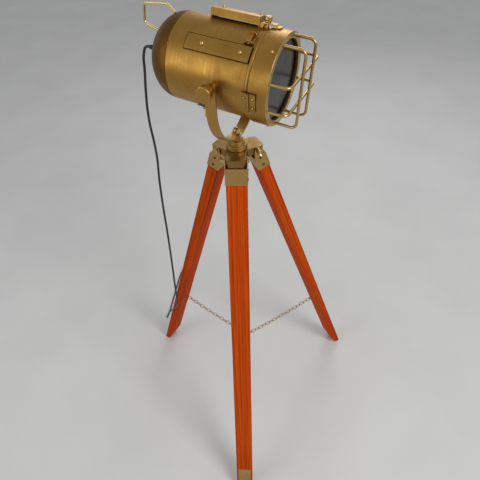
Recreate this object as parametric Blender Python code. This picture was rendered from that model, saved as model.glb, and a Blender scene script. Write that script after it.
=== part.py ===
"""Tripod spotlight: a brass drum lamp held in a yoke on a wooden three-legged stand.

Metres, +Z up. The origin is on the floor under the middle of the stand, and the front leg points along -Y.
"""
import math

import bmesh
import bpy
from mathutils import Matrix, Vector

# Clearances and facets
GAP = 0.0003
CUT_OVERRUN = 0.004
WELD = 0.0006
BIG_STEPS = 32
BOSS_STEPS = 20
PIN_STEPS = 14
HEAD_STEPS = 8
SMOOTH_ANGLE = math.radians(35)

# Legs
LEG_NAMES_AND_AZIMUTHS = (("front", -90), ("right", 30), ("left", 150))
LEG_WIDTH = 0.050
LEG_DEPTH = 0.030
LEG_TOP = 0.018
PIVOT_RADIUS = 0.042
PIVOT_HEIGHT = 1.066
FOOT_RADIUS = 0.400
TIP_CUT = 0.012
TIP_LENGTH = 0.070

# Leg brackets, bolts and wing nuts
BRACKET_SHEET = 0.0013
BRACKET_WALL_TOP = 0.016
BRACKET_LENGTH = 0.055
CHEEK_RADIUS = 0.009
BOLT_RADIUS = 0.003
BOLT_HEAD_RADIUS = 0.0055
BOLT_HEAD_HEIGHT = 0.0035
BOLT_END = 0.0375
WING_NUT_LENGTH = 0.008
WING_NUT_RADIUS = 0.0055
WING_REACH = 0.015
WING_THICKNESS = 0.0025
WING_LENGTH_SHARES = (0.10, 0.60, 1.25, 1.10, 0.60, 0.10)
WING_REACH_SHARES = (0.30, 0.30, 0.80, 1.00, 0.95, 0.60)
CHEEK_SCREW_PLACES = (0.022, 0.045)
CHEEK_SCREW_RADIUS = 0.0033
CHEEK_SCREW_HEIGHT = 0.0018
TOE_SHEET = 0.0015
TOE_WIDTH = 0.040
TOE_HEIGHT = 0.1071
TOE_LIFT = 0.0005
TOE_SCREW_RISES = (0.094, 0.032)

# Chain
EYE_PLACE = 0.747
EYE_STEM = 0.003
EYE_RADIUS = 0.004
EYE_WIRE = 0.0011
EYE_TURN_SHARE = 0.90
LINK_LENGTH = 0.018
LINK_WIDTH = 0.011
LINK_WIRE = 0.0011
LINK_SLACK = 0.0020
CHAIN_RING_RADIUS = 0.008
CHAIN_RING_WIRE = 0.00125
CHAIN_RING_STEPS = 12
CHAIN_RING_DROP = 0.0428
CHAIN_SAG = 0.0065

# Head casting and swivel post
HEAD_THICKNESS = 0.020
HUB_RADIUS = 0.030
TONGUE_HALF_WIDTH = 0.0230
TONGUE_REACH = 0.060
TONGUE_CORNER = 0.006
TONGUE_PAD_HALF_LENGTH = 0.0065
SPIGOT_RADIUS = 0.006
BOSS_RADIUS = 0.025
BOSS_HEIGHT = 0.013
COLLAR_RADIUS = 0.0195
COLLAR_HEIGHT = 0.006
NECK_RADIUS = 0.017
NECK_HEIGHT = 0.002
POST_RADIUS = 0.0075
STUD_RADIUS = 0.0045

# Yoke
POST_RISE = 0.033
LAMP_TURN = math.radians(-22.49)
LAMP_NOD = math.radians(4.89)
YOKE_HALF_SPAN = 0.102
YOKE_STRAIGHT = 0.050
YOKE_DEPTH = 0.155
YOKE_WIDTH = 0.024
YOKE_THICKNESS = 0.004
YOKE_END_STEPS = 6
YOKE_BEND_STEPS = 18
YOKE_FLAT = 0.0115
CAP_NUT_RADIUS = 0.0095
CAP_NUT_HEIGHT = 0.008
CAP_NUT_DOME = 0.007

# Tilt knobs and trunnions
TRUNNION_RADIUS = 0.004
SHOULDER_RADIUS = 0.0085
TRUNNION_HEAD_RADIUS = 0.007
TRUNNION_HEAD_HEIGHT = 0.004
KNOB_FACE = 0.131
KNOB_RADIUS = 0.0165
KNOB_HUB_RADIUS = 0.0095
KNOB_HUB_LENGTH = 0.013
KNOB_BEVEL = 0.0015

# Drum and dome
DRUM_RADIUS = 0.088
SHEET = 0.0015
DRUM_BACK = -0.108
DRUM_FRONT = 0.074
BEAD_LENGTH = 0.008
BEAD_RISE = 0.0025
DOME_DEPTH = 0.067
DOME_SKIRT = 0.010
DOME_STEPS = 6
SLOT_WIDTH = 0.010
SLOT_LENGTH = 0.030
SLOT_PITCH = 0.050
HANDLE_WIRE = 0.0028
HANDLE_FOOT_ANGLES = (math.radians(70.6), math.radians(26.6))
HANDLE_FOOT_LIFTS = (0.00130, 0.00015)
HANDLE_CORNERS = ((-0.150, 0.098), (-0.2045, 0.0905), (-0.2085, 0.0505))
HANDLE_BEND = 0.009
BEND_STEPS = 4

# Vent covers: front and back along the lamp, middle angle from the top, lift and height over the drum
COVER_HALF_ANGLE = math.radians(10.5)
COVER_SHEET = 0.0012
COVER_LIFT = 0.0016
COVER_FOOT = 0.008
COVER_BACK = -0.072
COVER_FRONT = 0.065
COVER_SIDE_ANGLE = math.radians(44)
COVER_SCREW_PLACES = (-0.036, 0.044)
HOOD_ANGLE = math.radians(-16)
HOOD_BACK = -0.055
HOOD_FRONT = 0.050
HOOD_TOP = 0.019
HOOD_SKIRT = 0.0145
COVER_FAR_ANGLE = math.radians(-72)
CASE_SCREW_RADIUS = 0.0041
CASE_SCREW_HEIGHT = 0.0036

# Hinge of the door ring
HINGE_ANGLE = math.radians(98)
HINGE_PIN_PLACE = 0.0777
HINGE_PIN_HEIGHT = 0.0952
HINGE_PIN_RADIUS = 0.0014
KNUCKLE_RADIUS = 0.0026
HINGE_HALF_LENGTH = 0.021
KNUCKLE_HALF_LENGTH = 0.007
LEAF_DRUM_EDGE = 0.0635
LEAF_RING_EDGE = 0.093
LEAF_SHEET = 0.0017
HINGE_SCREW_OFFSET = 0.010
HINGE_SCREW_RADIUS = 0.0023
HINGE_SCREW_HEIGHT = 0.0012

# Door ring, glass, gasket and guard
RING_RADIUS = 0.092
RING_SHEET = 0.0018
RING_BACK = 0.0745
RING_FRONT = 0.114
LIP_RADIUS = 0.0795
LIP_SHEET = 0.0042
GASKET_THICKNESS = 0.0022
GASKET_RADIUS = 0.0785
GLASS_THICKNESS = 0.004
GLASS_EDGE = 0.0025
GUARD_WIRE = 0.003
GUARD_OFFSET = 0.028
GUARD_HALF_SPAN = 0.0805
GUARD_FRONT = 0.160
GUARD_BEND = 0.009
RING_SCREW_PLACE = 0.103
RING_SCREW_ANGLES = (math.radians(35), math.radians(155), math.radians(275))
RING_SCREW_RADIUS = 0.0034
RING_SCREW_HEIGHT = 0.0028

# Clasp and catch lug
CLASP_ANGLE = math.radians(-10)
CLASP_HALF_WIDTH = 0.008
CLASP_HEEL_BACK = 0.0515
CLASP_HEEL_FRONT = 0.0570
CLASP_SHEET = 0.0025
CLASP_RISE = 0.0105
CLASP_TOE_BACK = 0.086
CLASP_TOE_FRONT = 0.0935
CLASP_TOE_CLEARANCE = 0.0004
CLASP_SCREW_PLACE = 0.0640
CLASP_SCREW_RADIUS = 0.0028
CLASP_KNOB_RADIUS = 0.0075
CLASP_KNOB_HEIGHT = 0.011
LUG_BACK = 0.045
LUG_FRONT = 0.063
LUG_ANGLE = math.radians(25)
LUG_HALF_WIDTH = 0.0115
LUG_SHEET = 0.0018
LUG_HEIGHT = 0.0105
LUG_PIN_RADIUS = 0.0020
LUG_PIN_OVERHANG = 0.0025

# Switch under the drum
SWITCH_ANGLE = math.radians(146)
SWITCH_PLACE = -0.036
SWITCH_PLATE_LENGTH = 0.034
SWITCH_PLATE_WIDTH = 0.020
SWITCH_PLATE_THICKNESS = 0.0025
SWITCH_BUSH_RADIUS = 0.006
SWITCH_BUSH_HEIGHT = 0.0065
SWITCH_BODY_LENGTH = 0.028
SWITCH_BODY_WIDTH = 0.015
SWITCH_BODY_DEPTH = 0.018
TOGGLE_THROW = math.radians(12)
TOGGLE_RADIUS = 0.0016
TOGGLE_TIP_RADIUS = 0.0028
TOGGLE_LENGTH = 0.016
TOGGLE_WELL_RADIUS = 0.0042

# Inside the lamp
REFLECTOR_FRONT = 0.060
REFLECTOR_BACK = -0.045
REFLECTOR_HOLE = 0.024
REFLECTOR_SHEET = 0.0010
REFLECTOR_RIM = 0.004
REFLECTOR_STEPS = 5
HOLDER_RADIUS = 0.0195
HOLDER_BACK = -0.098
HOLDER_FRONT = -0.048
HOLDER_CUP_DEPTH = 0.026
HOLDER_WALL = 0.0045
BULB_BASE_RADIUS = 0.0135
BULB_RADIUS = 0.030
BULB_MIDDLE = 0.012
BULB_SHOULDER = -0.028
BULB_STEPS = 8
GLAND_RADIUS = 0.010
GLAND_FLANGE = 0.003
GLAND_STEM_RADIUS = 0.0055
GLAND_BORE_RADIUS = 0.0035
RELIEF_LENGTH = 0.022
RELIEF_RADIUS = 0.0070
RELIEF_TIP_RADIUS = 0.0046

# Cord and plug. The cord's route is given from the stand's axis, from just below the lamp to the plug.
CORD_RADIUS = 0.003
CORD_POINTS = 84
CORD_ROUTE_LAMP_HEIGHT = 1.266
CORD_ROUTE = (
    (-0.1995, 0.0835, 1.2775), (-0.2065, 0.0840, 1.2560), (-0.2090, 0.0830, 1.2290), (-0.2145, 0.0800, 1.1850),
    (-0.2190, 0.0775, 1.1380), (-0.2205, 0.0770, 1.0920), (-0.2190, 0.0770, 1.0440), (-0.2195, 0.0765, 0.9910),
    (-0.2255, 0.0750, 0.9180), (-0.2300, 0.0735, 0.8220), (-0.2325, 0.0730, 0.7390), (-0.2360, 0.0720, 0.6540),
    (-0.2405, 0.0700, 0.5590), (-0.2450, 0.0685, 0.4680), (-0.2480, 0.0700, 0.4000), (-0.2600, 0.0860, 0.3450),
    (-0.2810, 0.1120, 0.2980), (-0.3040, 0.1390, 0.2500), (-0.3250, 0.1700, 0.1950), (-0.3480, 0.2060, 0.1250),
    (-0.3680, 0.2430, 0.0600), (-0.3760, 0.2790, 0.0200), (-0.3770, 0.3200, 0.0045), (-0.3740, 0.3620, 0.0035),
    (-0.3700, 0.4200, 0.0035), (-0.3660, 0.4800, 0.0035), (-0.3600, 0.5400, 0.0035), (-0.3480, 0.5850, 0.0035),
    (-0.3270, 0.6050, 0.0035), (-0.3070, 0.5880, 0.0035), (-0.3020, 0.5500, 0.0035), (-0.3065, 0.5080, 0.0045),
)
PLUG_PLACE = (-0.3170, 0.4560, 0.0072)
PLUG_TURN = math.radians(-103)
PLUG_TAIL = 0.014
PLUG_TAIL_RADIUS = 0.0045
PLUG_LENGTH = 0.036
PLUG_WIDTH = 0.034
PLUG_THICKNESS = 0.0138
PLUG_CORNER = 0.007
PLUG_PIN_LENGTH = 0.019
PLUG_PIN_RADIUS = 0.002
PLUG_PIN_SPACING = 0.019

# Worked out from the sizes above
SPLAY = math.atan2(FOOT_RADIUS - PIVOT_RADIUS, PIVOT_HEIGHT)
HEAD_TOP = PIVOT_HEIGHT + HEAD_THICKNESS / 2
HEAD_BOTTOM = PIVOT_HEIGHT - HEAD_THICKNESS / 2
YOKE_SEAT = HEAD_TOP + POST_RISE
TILT_HEIGHT = YOKE_SEAT + YOKE_THICKNESS / 2 + YOKE_DEPTH
DRUM_INSIDE = DRUM_RADIUS - SHEET
BRACKET_HALF_WIDTH = LEG_WIDTH / 2 + GAP + BRACKET_SHEET
BRACKET_HALF_DEPTH = LEG_DEPTH / 2 + GAP + BRACKET_SHEET
TOE_OUTSIDE = LEG_DEPTH / 2 + GAP + TOE_SHEET


def floor_along(out):
    """Length along the leg, from its pivot, at which a line `out` from its middle plane meets the floor."""
    return (PIVOT_HEIGHT + out * math.sin(SPLAY)) / math.cos(SPLAY)


def reach(along, out):
    """Distance from the stand's axis of a point on a leg."""
    return PIVOT_RADIUS + along * math.sin(SPLAY) + out * math.cos(SPLAY)


TOE_REACH = reach(floor_along(TOE_OUTSIDE) - TOE_LIFT / math.cos(SPLAY), TOE_OUTSIDE)
LEG_REACH = reach(floor_along(LEG_DEPTH / 2), LEG_DEPTH / 2)
BACK_REACH = LEG_REACH * math.sin(math.radians(30)) + LEG_WIDTH / 2 * math.cos(math.radians(30))
AXIS_Y = (TOE_REACH - BACK_REACH) / 2


# Scene and objects

def clear_scene():
    for old in list(bpy.data.objects):
        bpy.data.objects.remove(old)


def finish(name, colour, roughness, metallic):
    """A Principled BSDF material."""
    material = bpy.data.materials.new(name)
    material.use_nodes = True
    shader = material.node_tree.nodes["Principled BSDF"]
    shader.inputs["Base Color"].default_value = (*colour, 1)
    shader.inputs["Roughness"].default_value = roughness
    shader.inputs["Metallic"].default_value = metallic
    material.diffuse_color = (*colour, 1)
    return material


def frame(name, holder, location, rotation=None):
    """An empty that carries pieces; a moving piece's empty stands on its joint's axis."""
    empty = bpy.data.objects.new(name, None)
    bpy.context.scene.collection.objects.link(empty)
    empty.parent = holder
    turn = rotation if rotation is not None else Matrix.Identity(4)
    empty.matrix_local = Matrix.Translation(location) @ turn
    return empty


def place(name, data, material, holder, matrix):
    piece = bpy.data.objects.new(name, data)
    bpy.context.scene.collection.objects.link(piece)
    if material:
        data.materials.append(material)
    piece.parent = holder
    piece.matrix_local = matrix if matrix is not None else Matrix.Identity(4)
    return piece


def solid(name, shape, material, holder, matrix=None):
    """An object from a bmesh, shaded smooth across its shallow edges."""
    mesh = bpy.data.meshes.new(name)
    shape.to_mesh(mesh)
    shape.free()
    mesh.shade_smooth()
    mesh.set_sharp_from_angle(angle=SMOOTH_ANGLE)
    return place(name, mesh, material, holder, matrix)


def combine(piece, shape, operation="DIFFERENCE"):
    """Cuts a shape out of a piece, or joins it on, with a Boolean modifier."""
    cutter = solid(f"{piece.name}_{operation.lower()}_{len(piece.modifiers)}", shape, None, piece)
    cutter.hide_render = True
    cutter.display_type = "WIRE"
    modifier = piece.modifiers.new("shape", "BOOLEAN")
    modifier.operation = operation
    modifier.object = cutter
    return piece


def cable(name, path, radius, resolution, material, holder):
    """A round tube along a path of points, as a curve with filled ends."""
    curve = bpy.data.curves.new(name, "CURVE")
    curve.dimensions = "3D"
    curve.bevel_depth = radius
    curve.bevel_resolution = resolution
    curve.use_fill_caps = True
    spline = curve.splines.new("POLY")
    spline.points.add(len(path) - 1)
    for point, position in zip(spline.points, path):
        point.co = (*position, 1)
    spline.use_smooth = True
    return place(name, curve, material, holder, None)


# Shapes

def prism(outline, low, high, axis="Z"):
    """An outline drawn in the other two axes, extruded from low to high along the named axis."""
    order = {"X": lambda a, b, c: (c, a, b), "Y": lambda a, b, c: (a, c, b), "Z": lambda a, b, c: (a, b, c)}
    put = order[axis]
    shape = bmesh.new()
    bottom = [shape.verts.new(put(a, b, low)) for a, b in outline]
    top = [shape.verts.new(put(a, b, high)) for a, b in outline]
    shape.faces.new(bottom)
    shape.faces.new(top)
    for k in range(len(outline)):
        after = (k + 1) % len(outline)
        shape.faces.new((bottom[k], bottom[after], top[after], top[k]))
    bmesh.ops.recalc_face_normals(shape, faces=shape.faces)
    return shape


def block(low, high):
    """A box between two corners."""
    outline = ((low[0], low[1]), (high[0], low[1]), (high[0], high[1]), (low[0], high[1]))
    return prism(outline, low[2], high[2])


def turned(profile, steps, axis="Z"):
    """A profile of (radius, height) pairs, given as a closed loop, turned about the named axis."""
    order = {"X": lambda r, c, s, h: (h, r * c, r * s), "Y": lambda r, c, s, h: (r * s, h, r * c),
             "Z": lambda r, c, s, h: (r * c, r * s, h)}
    put = order[axis]
    shape = bmesh.new()
    rings = []
    for radius, height in profile:
        count = 1 if radius == 0 else steps
        turns = [2 * math.pi * k / steps for k in range(count)]
        rings.append([shape.verts.new(put(radius, math.cos(t), math.sin(t), height)) for t in turns])
    for ring, after in zip(rings, rings[1:] + rings[:1]):
        for k in range(steps):
            corners = [ring[k % len(ring)], ring[(k + 1) % steps % len(ring)],
                       after[(k + 1) % steps % len(after)], after[k % len(after)]]
            corners = list(dict.fromkeys(corners))
            if len(corners) > 2:
                shape.faces.new(corners)
    bmesh.ops.recalc_face_normals(shape, faces=shape.faces)
    return shape


def disc(radius, low, high, steps, axis="Z"):
    """A plain cylinder."""
    return turned(((0, low), (radius, low), (radius, high), (0, high)), steps, axis)


def sector(outline, start, end, steps):
    """An outline of (x, radius) pairs swept round the lamp's axis between two angles from the top."""
    shape = bmesh.new()
    rows = []
    for k in range(steps + 1):
        angle = start + (end - start) * k / steps
        rows.append([shape.verts.new((x, -r * math.sin(angle), r * math.cos(angle))) for x, r in outline])
    shape.faces.new(rows[0])
    shape.faces.new(rows[-1])
    for row, after in zip(rows, rows[1:]):
        for k in range(len(outline)):
            other = (k + 1) % len(outline)
            shape.faces.new((row[k], row[other], after[other], after[k]))
    bmesh.ops.recalc_face_normals(shape, faces=shape.faces)
    return shape


def wire(path, across, radius, sides, closed=False):
    """A round wire along a flat path, whose plane is square to `across`."""
    path = [Vector(p) for p in path]
    shape = bmesh.new()
    rows = []
    for k, point in enumerate(path):
        runs = []
        if closed or k > 0:
            runs.append((point - path[k - 1]).normalized())
        if closed or k < len(path) - 1:
            runs.append((path[(k + 1) % len(path)] - point).normalized())
        run = sum(runs, Vector()).normalized()
        side = run.cross(across) / max(run.dot(runs[0]), 0.5)
        turns = [2 * math.pi * n / sides for n in range(sides)]
        rows.append([shape.verts.new(point + radius * (math.cos(t) * across + math.sin(t) * side)) for t in turns])
    if not closed:
        shape.faces.new(rows[0])
        shape.faces.new(rows[-1])
    for row, after in zip(rows, rows[1:] + rows[:1] if closed else rows[1:]):
        for n in range(sides):
            other = (n + 1) % sides
            shape.faces.new((row[n], row[other], after[other], after[n]))
    bmesh.ops.recalc_face_normals(shape, faces=shape.faces)
    return shape


def gather(shapes_and_places):
    """Separate solids in one bmesh, each moved by its matrix."""
    whole = bmesh.new()
    for shape, matrix in shapes_and_places:
        bmesh.ops.transform(shape, matrix=matrix, verts=shape.verts)
        mesh = bpy.data.meshes.new("part")
        shape.to_mesh(mesh)
        shape.free()
        whole.from_mesh(mesh)
        bpy.data.meshes.remove(mesh)
    return whole


def filleted(corners, radius):
    """A path through corners, with each inner corner rounded to an arc of the given radius."""
    corners = [Vector(c) for c in corners]
    path = [corners[0]]
    for before, corner, after in zip(corners, corners[1:], corners[2:]):
        back = (before - corner).normalized()
        on = (after - corner).normalized()
        half = back.angle(on) / 2
        middle = corner + (back + on).normalized() * radius / math.sin(half)
        start = corner + back * radius / math.tan(half) - middle
        end = corner + on * radius / math.tan(half) - middle
        for k in range(BEND_STEPS + 1):
            path.append(middle + start.lerp(end, k / BEND_STEPS).normalized() * radius)
    path.append(corners[-1])
    return path


def through(points, count):
    """A smooth curve through route points, read at even spacing."""
    points = [Vector(p) for p in points]
    padded = [2 * points[0] - points[1], *points, 2 * points[-1] - points[-2]]
    fine = []
    for a, b, c, d in zip(padded, padded[1:], padded[2:], padded[3:]):
        for k in range(12):
            t = k / 12
            fine.append((2 * b + (c - a) * t + (2 * a - 5 * b + 4 * c - d) * t ** 2
                         + (3 * b - a - 3 * c + d) * t ** 3) / 2)
    fine.append(points[-1])
    lengths = [0.0]
    for a, b in zip(fine, fine[1:]):
        lengths.append(lengths[-1] + (b - a).length)
    path = []
    at = 0
    for k in range(count):
        wanted = lengths[-1] * k / (count - 1)
        while at < len(fine) - 2 and lengths[at + 1] < wanted:
            at += 1
        share = (wanted - lengths[at]) / (lengths[at + 1] - lengths[at])
        path.append(fine[at].lerp(fine[at + 1], share))
    return path


def domed(radius, height):
    """A low round screw head on the plane z = 0."""
    profile = ((0, 0), (radius, 0), (radius, height * 0.45), (radius * 0.62, height * 0.9), (0, height))
    return turned(profile, HEAD_STEPS)


def add_heads(piece, radius, height, places):
    """Screw heads set a little into the piece's surface and joined to it."""
    sunk = Matrix.Translation((0, 0, -GAP))
    combine(piece, gather([(domed(radius, height), spot @ sunk) for spot in places]), "UNION")


def on_drum(x, angle, radius):
    """A place on the lamp, with Z pointing outward, X forward, at an angle from the top."""
    outward = Vector((0, -math.sin(angle), math.cos(angle)))
    return Matrix.Translation(Vector((x, 0, 0)) + outward * radius) @ Matrix.Rotation(angle, 4, "X")


# Stand

def head_casting(material, axis):
    """The flat casting with three tongues, bored for the post and for the hinge bolts."""
    pad = LEG_WIDTH / 2
    corner_angle = math.asin(TONGUE_HALF_WIDTH / HUB_RADIUS)
    half = [(HUB_RADIUS * math.cos(corner_angle), TONGUE_HALF_WIDTH),
            (PIVOT_RADIUS - TONGUE_PAD_HALF_LENGTH, TONGUE_HALF_WIDTH), (PIVOT_RADIUS - TONGUE_PAD_HALF_LENGTH, pad),
            (PIVOT_RADIUS + TONGUE_PAD_HALF_LENGTH, pad),
            (PIVOT_RADIUS + TONGUE_PAD_HALF_LENGTH, TONGUE_HALF_WIDTH),
            (TONGUE_REACH - TONGUE_CORNER, TONGUE_HALF_WIDTH), (TONGUE_REACH, TONGUE_HALF_WIDTH - TONGUE_CORNER)]
    tongue = [(r, -t) for r, t in half] + [(r, t) for r, t in reversed(half)]
    outline = []
    for _, azimuth in sorted(LEG_NAMES_AND_AZIMUTHS, key=lambda leg: leg[1]):
        turn = math.radians(azimuth)
        outline += [(r * math.cos(turn) - t * math.sin(turn), r * math.sin(turn) + t * math.cos(turn))
                    for r, t in tongue]
    piece = solid("head_casting", prism(outline, HEAD_BOTTOM, HEAD_TOP), material, axis)
    combine(piece, disc(SPIGOT_RADIUS + GAP, HEAD_BOTTOM - CUT_OVERRUN, HEAD_TOP + CUT_OVERRUN, PIN_STEPS))
    bores = []
    for _, azimuth in LEG_NAMES_AND_AZIMUTHS:
        bore = disc(BOLT_RADIUS + GAP, -BRACKET_HALF_WIDTH, BRACKET_HALF_WIDTH, PIN_STEPS, "Y")
        bores.append((bore, Matrix.Rotation(math.radians(azimuth), 4, "Z")
                      @ Matrix.Translation((PIVOT_RADIUS, 0, PIVOT_HEIGHT))))
    combine(piece, gather(bores))


def swivel_post(material, axis):
    """The stepped boss and post that stand in the casting, with the stud that the yoke turns on."""
    boss = HEAD_TOP + GAP
    collar = boss + BOSS_HEIGHT
    neck = collar + COLLAR_HEIGHT
    shoulder = YOKE_SEAT - GAP
    stud = YOKE_SEAT + YOKE_THICKNESS + CAP_NUT_HEIGHT
    profile = ((0, HEAD_BOTTOM), (SPIGOT_RADIUS, HEAD_BOTTOM), (SPIGOT_RADIUS, boss), (BOSS_RADIUS, boss),
               (BOSS_RADIUS, collar), (COLLAR_RADIUS, collar), (COLLAR_RADIUS, neck), (NECK_RADIUS, neck),
               (NECK_RADIUS, neck + NECK_HEIGHT), (POST_RADIUS, neck + NECK_HEIGHT), (POST_RADIUS, shoulder),
               (STUD_RADIUS, shoulder), (STUD_RADIUS, stud), (0, stud))
    solid("swivel_post", turned(profile, BOSS_STEPS), material, axis)


def leg(name, material, hinge):
    """The wooden leg: square at the top, level at the floor and cut back inside its tip."""
    half = LEG_DEPTH / 2
    cut = TIP_CUT - half
    outline = ((-half, -LEG_TOP), (half, -LEG_TOP), (half, -floor_along(half)), (cut, -floor_along(cut)),
               (-half, TIP_LENGTH - floor_along(-half)))
    solid(f"leg_{name}", prism(outline, -LEG_WIDTH / 2, LEG_WIDTH / 2, "X"), material, hinge)


def leg_bracket(name, material, hinge):
    """One folded sheet: walls round the leg's top, cheeks that run up round the hinge bolt, riveted heads."""
    cheek = LEG_DEPTH / 2
    outline = [(-BRACKET_HALF_DEPTH, -BRACKET_LENGTH), (BRACKET_HALF_DEPTH, -BRACKET_LENGTH),
               (BRACKET_HALF_DEPTH, -BRACKET_WALL_TOP), (cheek, -BRACKET_WALL_TOP)]
    for k in range(7):
        angle = math.radians(20) + math.radians(140) * k / 6
        outline.append((CHEEK_RADIUS * math.cos(angle), CHEEK_RADIUS * math.sin(angle)))
    outline += [(-cheek, -BRACKET_WALL_TOP), (-BRACKET_HALF_DEPTH, -BRACKET_WALL_TOP)]
    piece = solid(f"leg_bracket_{name}", prism(outline, -BRACKET_HALF_WIDTH, BRACKET_HALF_WIDTH, "X"), material, hinge)
    inner_width = LEG_WIDTH / 2 + GAP
    inner_depth = LEG_DEPTH / 2 + GAP
    combine(piece, block((-inner_width, -inner_depth, -BRACKET_LENGTH - CUT_OVERRUN),
                         (inner_width, inner_depth, CHEEK_RADIUS + CUT_OVERRUN)))
    overrun = BRACKET_HALF_WIDTH + CUT_OVERRUN
    combine(piece, disc(BOLT_RADIUS + GAP, -overrun, overrun, PIN_STEPS, "X"))
    places = [Matrix.Translation((side * BRACKET_HALF_WIDTH, 0, -along)) @ Matrix.Rotation(side * math.pi / 2, 4, "Y")
              for side in (-1, 1) for along in CHEEK_SCREW_PLACES]
    add_heads(piece, CHEEK_SCREW_RADIUS, CHEEK_SCREW_HEIGHT, places)


def hinge_bolt(name, material, hinge):
    """The bolt through the cheeks and the casting's tongue."""
    seat = -BRACKET_HALF_WIDTH - GAP
    profile = ((0, seat - BOLT_HEAD_HEIGHT), (BOLT_HEAD_RADIUS, seat - BOLT_HEAD_HEIGHT), (BOLT_HEAD_RADIUS, seat),
               (BOLT_RADIUS, seat), (BOLT_RADIUS, BOLT_END), (0, BOLT_END))
    solid(f"hinge_bolt_{name}", turned(profile, PIN_STEPS, "X"), material, hinge)


def wing_nut(name, material, hinge):
    """The nut that clamps the leg's hinge, with two wings."""
    seat = BRACKET_HALF_WIDTH + GAP
    bore = BOLT_RADIUS + GAP
    profile = ((bore, seat), (WING_NUT_RADIUS, seat), (WING_NUT_RADIUS, seat + WING_NUT_LENGTH),
               (bore, seat + WING_NUT_LENGTH))
    piece = solid(f"wing_nut_{name}", turned(profile, PIN_STEPS, "X"), material, hinge)
    for side in (-1, 1):
        outline = [(seat + WING_NUT_LENGTH * a, side * WING_REACH * b)
                   for a, b in zip(WING_LENGTH_SHARES, WING_REACH_SHARES)]
        combine(piece, prism(outline, -WING_THICKNESS / 2, WING_THICKNESS / 2, "Y"), "UNION")


def toe_plate(name, material, hinge):
    """The sheet on the foot's outer face, with its two riveted heads."""
    inner = LEG_DEPTH / 2 + GAP
    lift = TOE_LIFT / math.cos(SPLAY)
    top = TOE_HEIGHT - floor_along(TOE_OUTSIDE)
    outline = ((inner, top), (TOE_OUTSIDE, top), (TOE_OUTSIDE, lift - floor_along(TOE_OUTSIDE)),
               (inner, lift - floor_along(inner)))
    piece = solid(f"toe_plate_{name}", prism(outline, -TOE_WIDTH / 2, TOE_WIDTH / 2, "X"), material, hinge)
    places = [Matrix.Translation((0, TOE_OUTSIDE, rise - floor_along(TOE_OUTSIDE)))
              @ Matrix.Rotation(-math.pi / 2, 4, "X") for rise in TOE_SCREW_RISES]
    add_heads(piece, CHEEK_SCREW_RADIUS, CHEEK_SCREW_HEIGHT, places)


def chain_eye(name, material, hinge):
    """A screw eye on the leg's inner face, its ring standing upright."""
    face = -LEG_DEPTH / 2 - GAP
    middle = face - EYE_STEM - EYE_RADIUS
    path = [(0, face, -EYE_PLACE)]
    for k in range(15):
        angle = 2 * math.pi * EYE_TURN_SHARE * k / 14
        path.append((0, middle + EYE_RADIUS * math.cos(angle), -EYE_PLACE + EYE_RADIUS * math.sin(angle)))
    solid(f"chain_eye_{name}", wire(path, Vector((1, 0, 0)), EYE_WIRE, 6), material, hinge)


def eye_middle():
    """Distance from the axis, and height, of the middle of the eye, which the chain swings about."""
    out = -LEG_DEPTH / 2 - GAP - EYE_STEM - EYE_RADIUS
    return (reach(EYE_PLACE, out), PIVOT_HEIGHT - EYE_PLACE * math.cos(SPLAY) + out * math.sin(SPLAY))


def chain_strand(name, material, swing):
    """Links from the eye to the centre ring, each at right angles to the last and joined to it, on a slight sag."""
    eye_reach, eye_height = eye_middle()
    end = Vector((CHAIN_RING_RADIUS - CHAIN_RING_WIRE - WELD / 2 - LINK_SLACK - eye_reach, 0, -CHAIN_RING_DROP))
    start = end.normalized() * (EYE_RADIUS - EYE_WIRE - WELD / 2 - LINK_SLACK)
    length = (end - start).length
    count = 2 * round(length / (LINK_LENGTH - 4 * LINK_WIRE) / 2)
    half_width = LINK_WIDTH / 2 - LINK_WIRE
    half_run = length / count / 2 + LINK_WIRE - WELD / 2 - half_width
    across = Vector((0, 1, 0))
    odd_and_even = ([], [])
    for number in range(count):
        share = (number + 0.5) / count
        middle = start.lerp(end, share) - Vector((0, 0, 4 * CHAIN_SAG * share * (1 - share)))
        run = ((end - start) / length - Vector((0, 0, 4 * CHAIN_SAG / length * (1 - 2 * share)))).normalized()
        flat, upright = across, run.cross(across)
        side, normal = (flat, upright) if number % 2 == 0 else (upright, flat)
        path = []
        for end_sign in (1, -1):
            for k in range(3):
                angle = math.pi * (k / 2 - 0.5)
                path.append(middle + end_sign * run * (half_run + half_width * math.cos(angle))
                            + end_sign * side * half_width * math.sin(angle))
        odd_and_even[number % 2].append((wire(path, normal, LINK_WIRE, 4, closed=True), Matrix.Identity(4)))
    piece = solid(f"chain_strand_{name}", gather(odd_and_even[0]), material, swing)
    combine(piece, gather(odd_and_even[1]), "UNION")
    print(f"chain {name}: {count} links, {length:.4f} m, swing to hang {math.degrees(hang_swing()):.2f} degrees")


def hang_swing():
    """Turn from the strand's line at rest to straight down."""
    eye_reach, eye_height = eye_middle()
    return math.atan2(eye_reach - CHAIN_RING_RADIUS, CHAIN_RING_DROP)


def chain_ring(material, swing):
    """The ring in the middle that the three strands meet in."""
    eye_reach, eye_height = eye_middle()
    ring = [(CHAIN_RING_RADIUS * math.cos(2 * math.pi * k / CHAIN_RING_STEPS) - eye_reach,
             CHAIN_RING_RADIUS * math.sin(2 * math.pi * k / CHAIN_RING_STEPS), -CHAIN_RING_DROP)
            for k in range(CHAIN_RING_STEPS)]
    solid("chain_ring", wire(ring, Vector((0, 0, 1)), CHAIN_RING_WIRE, 6, closed=True), material, swing)


# Yoke and its knobs

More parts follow.
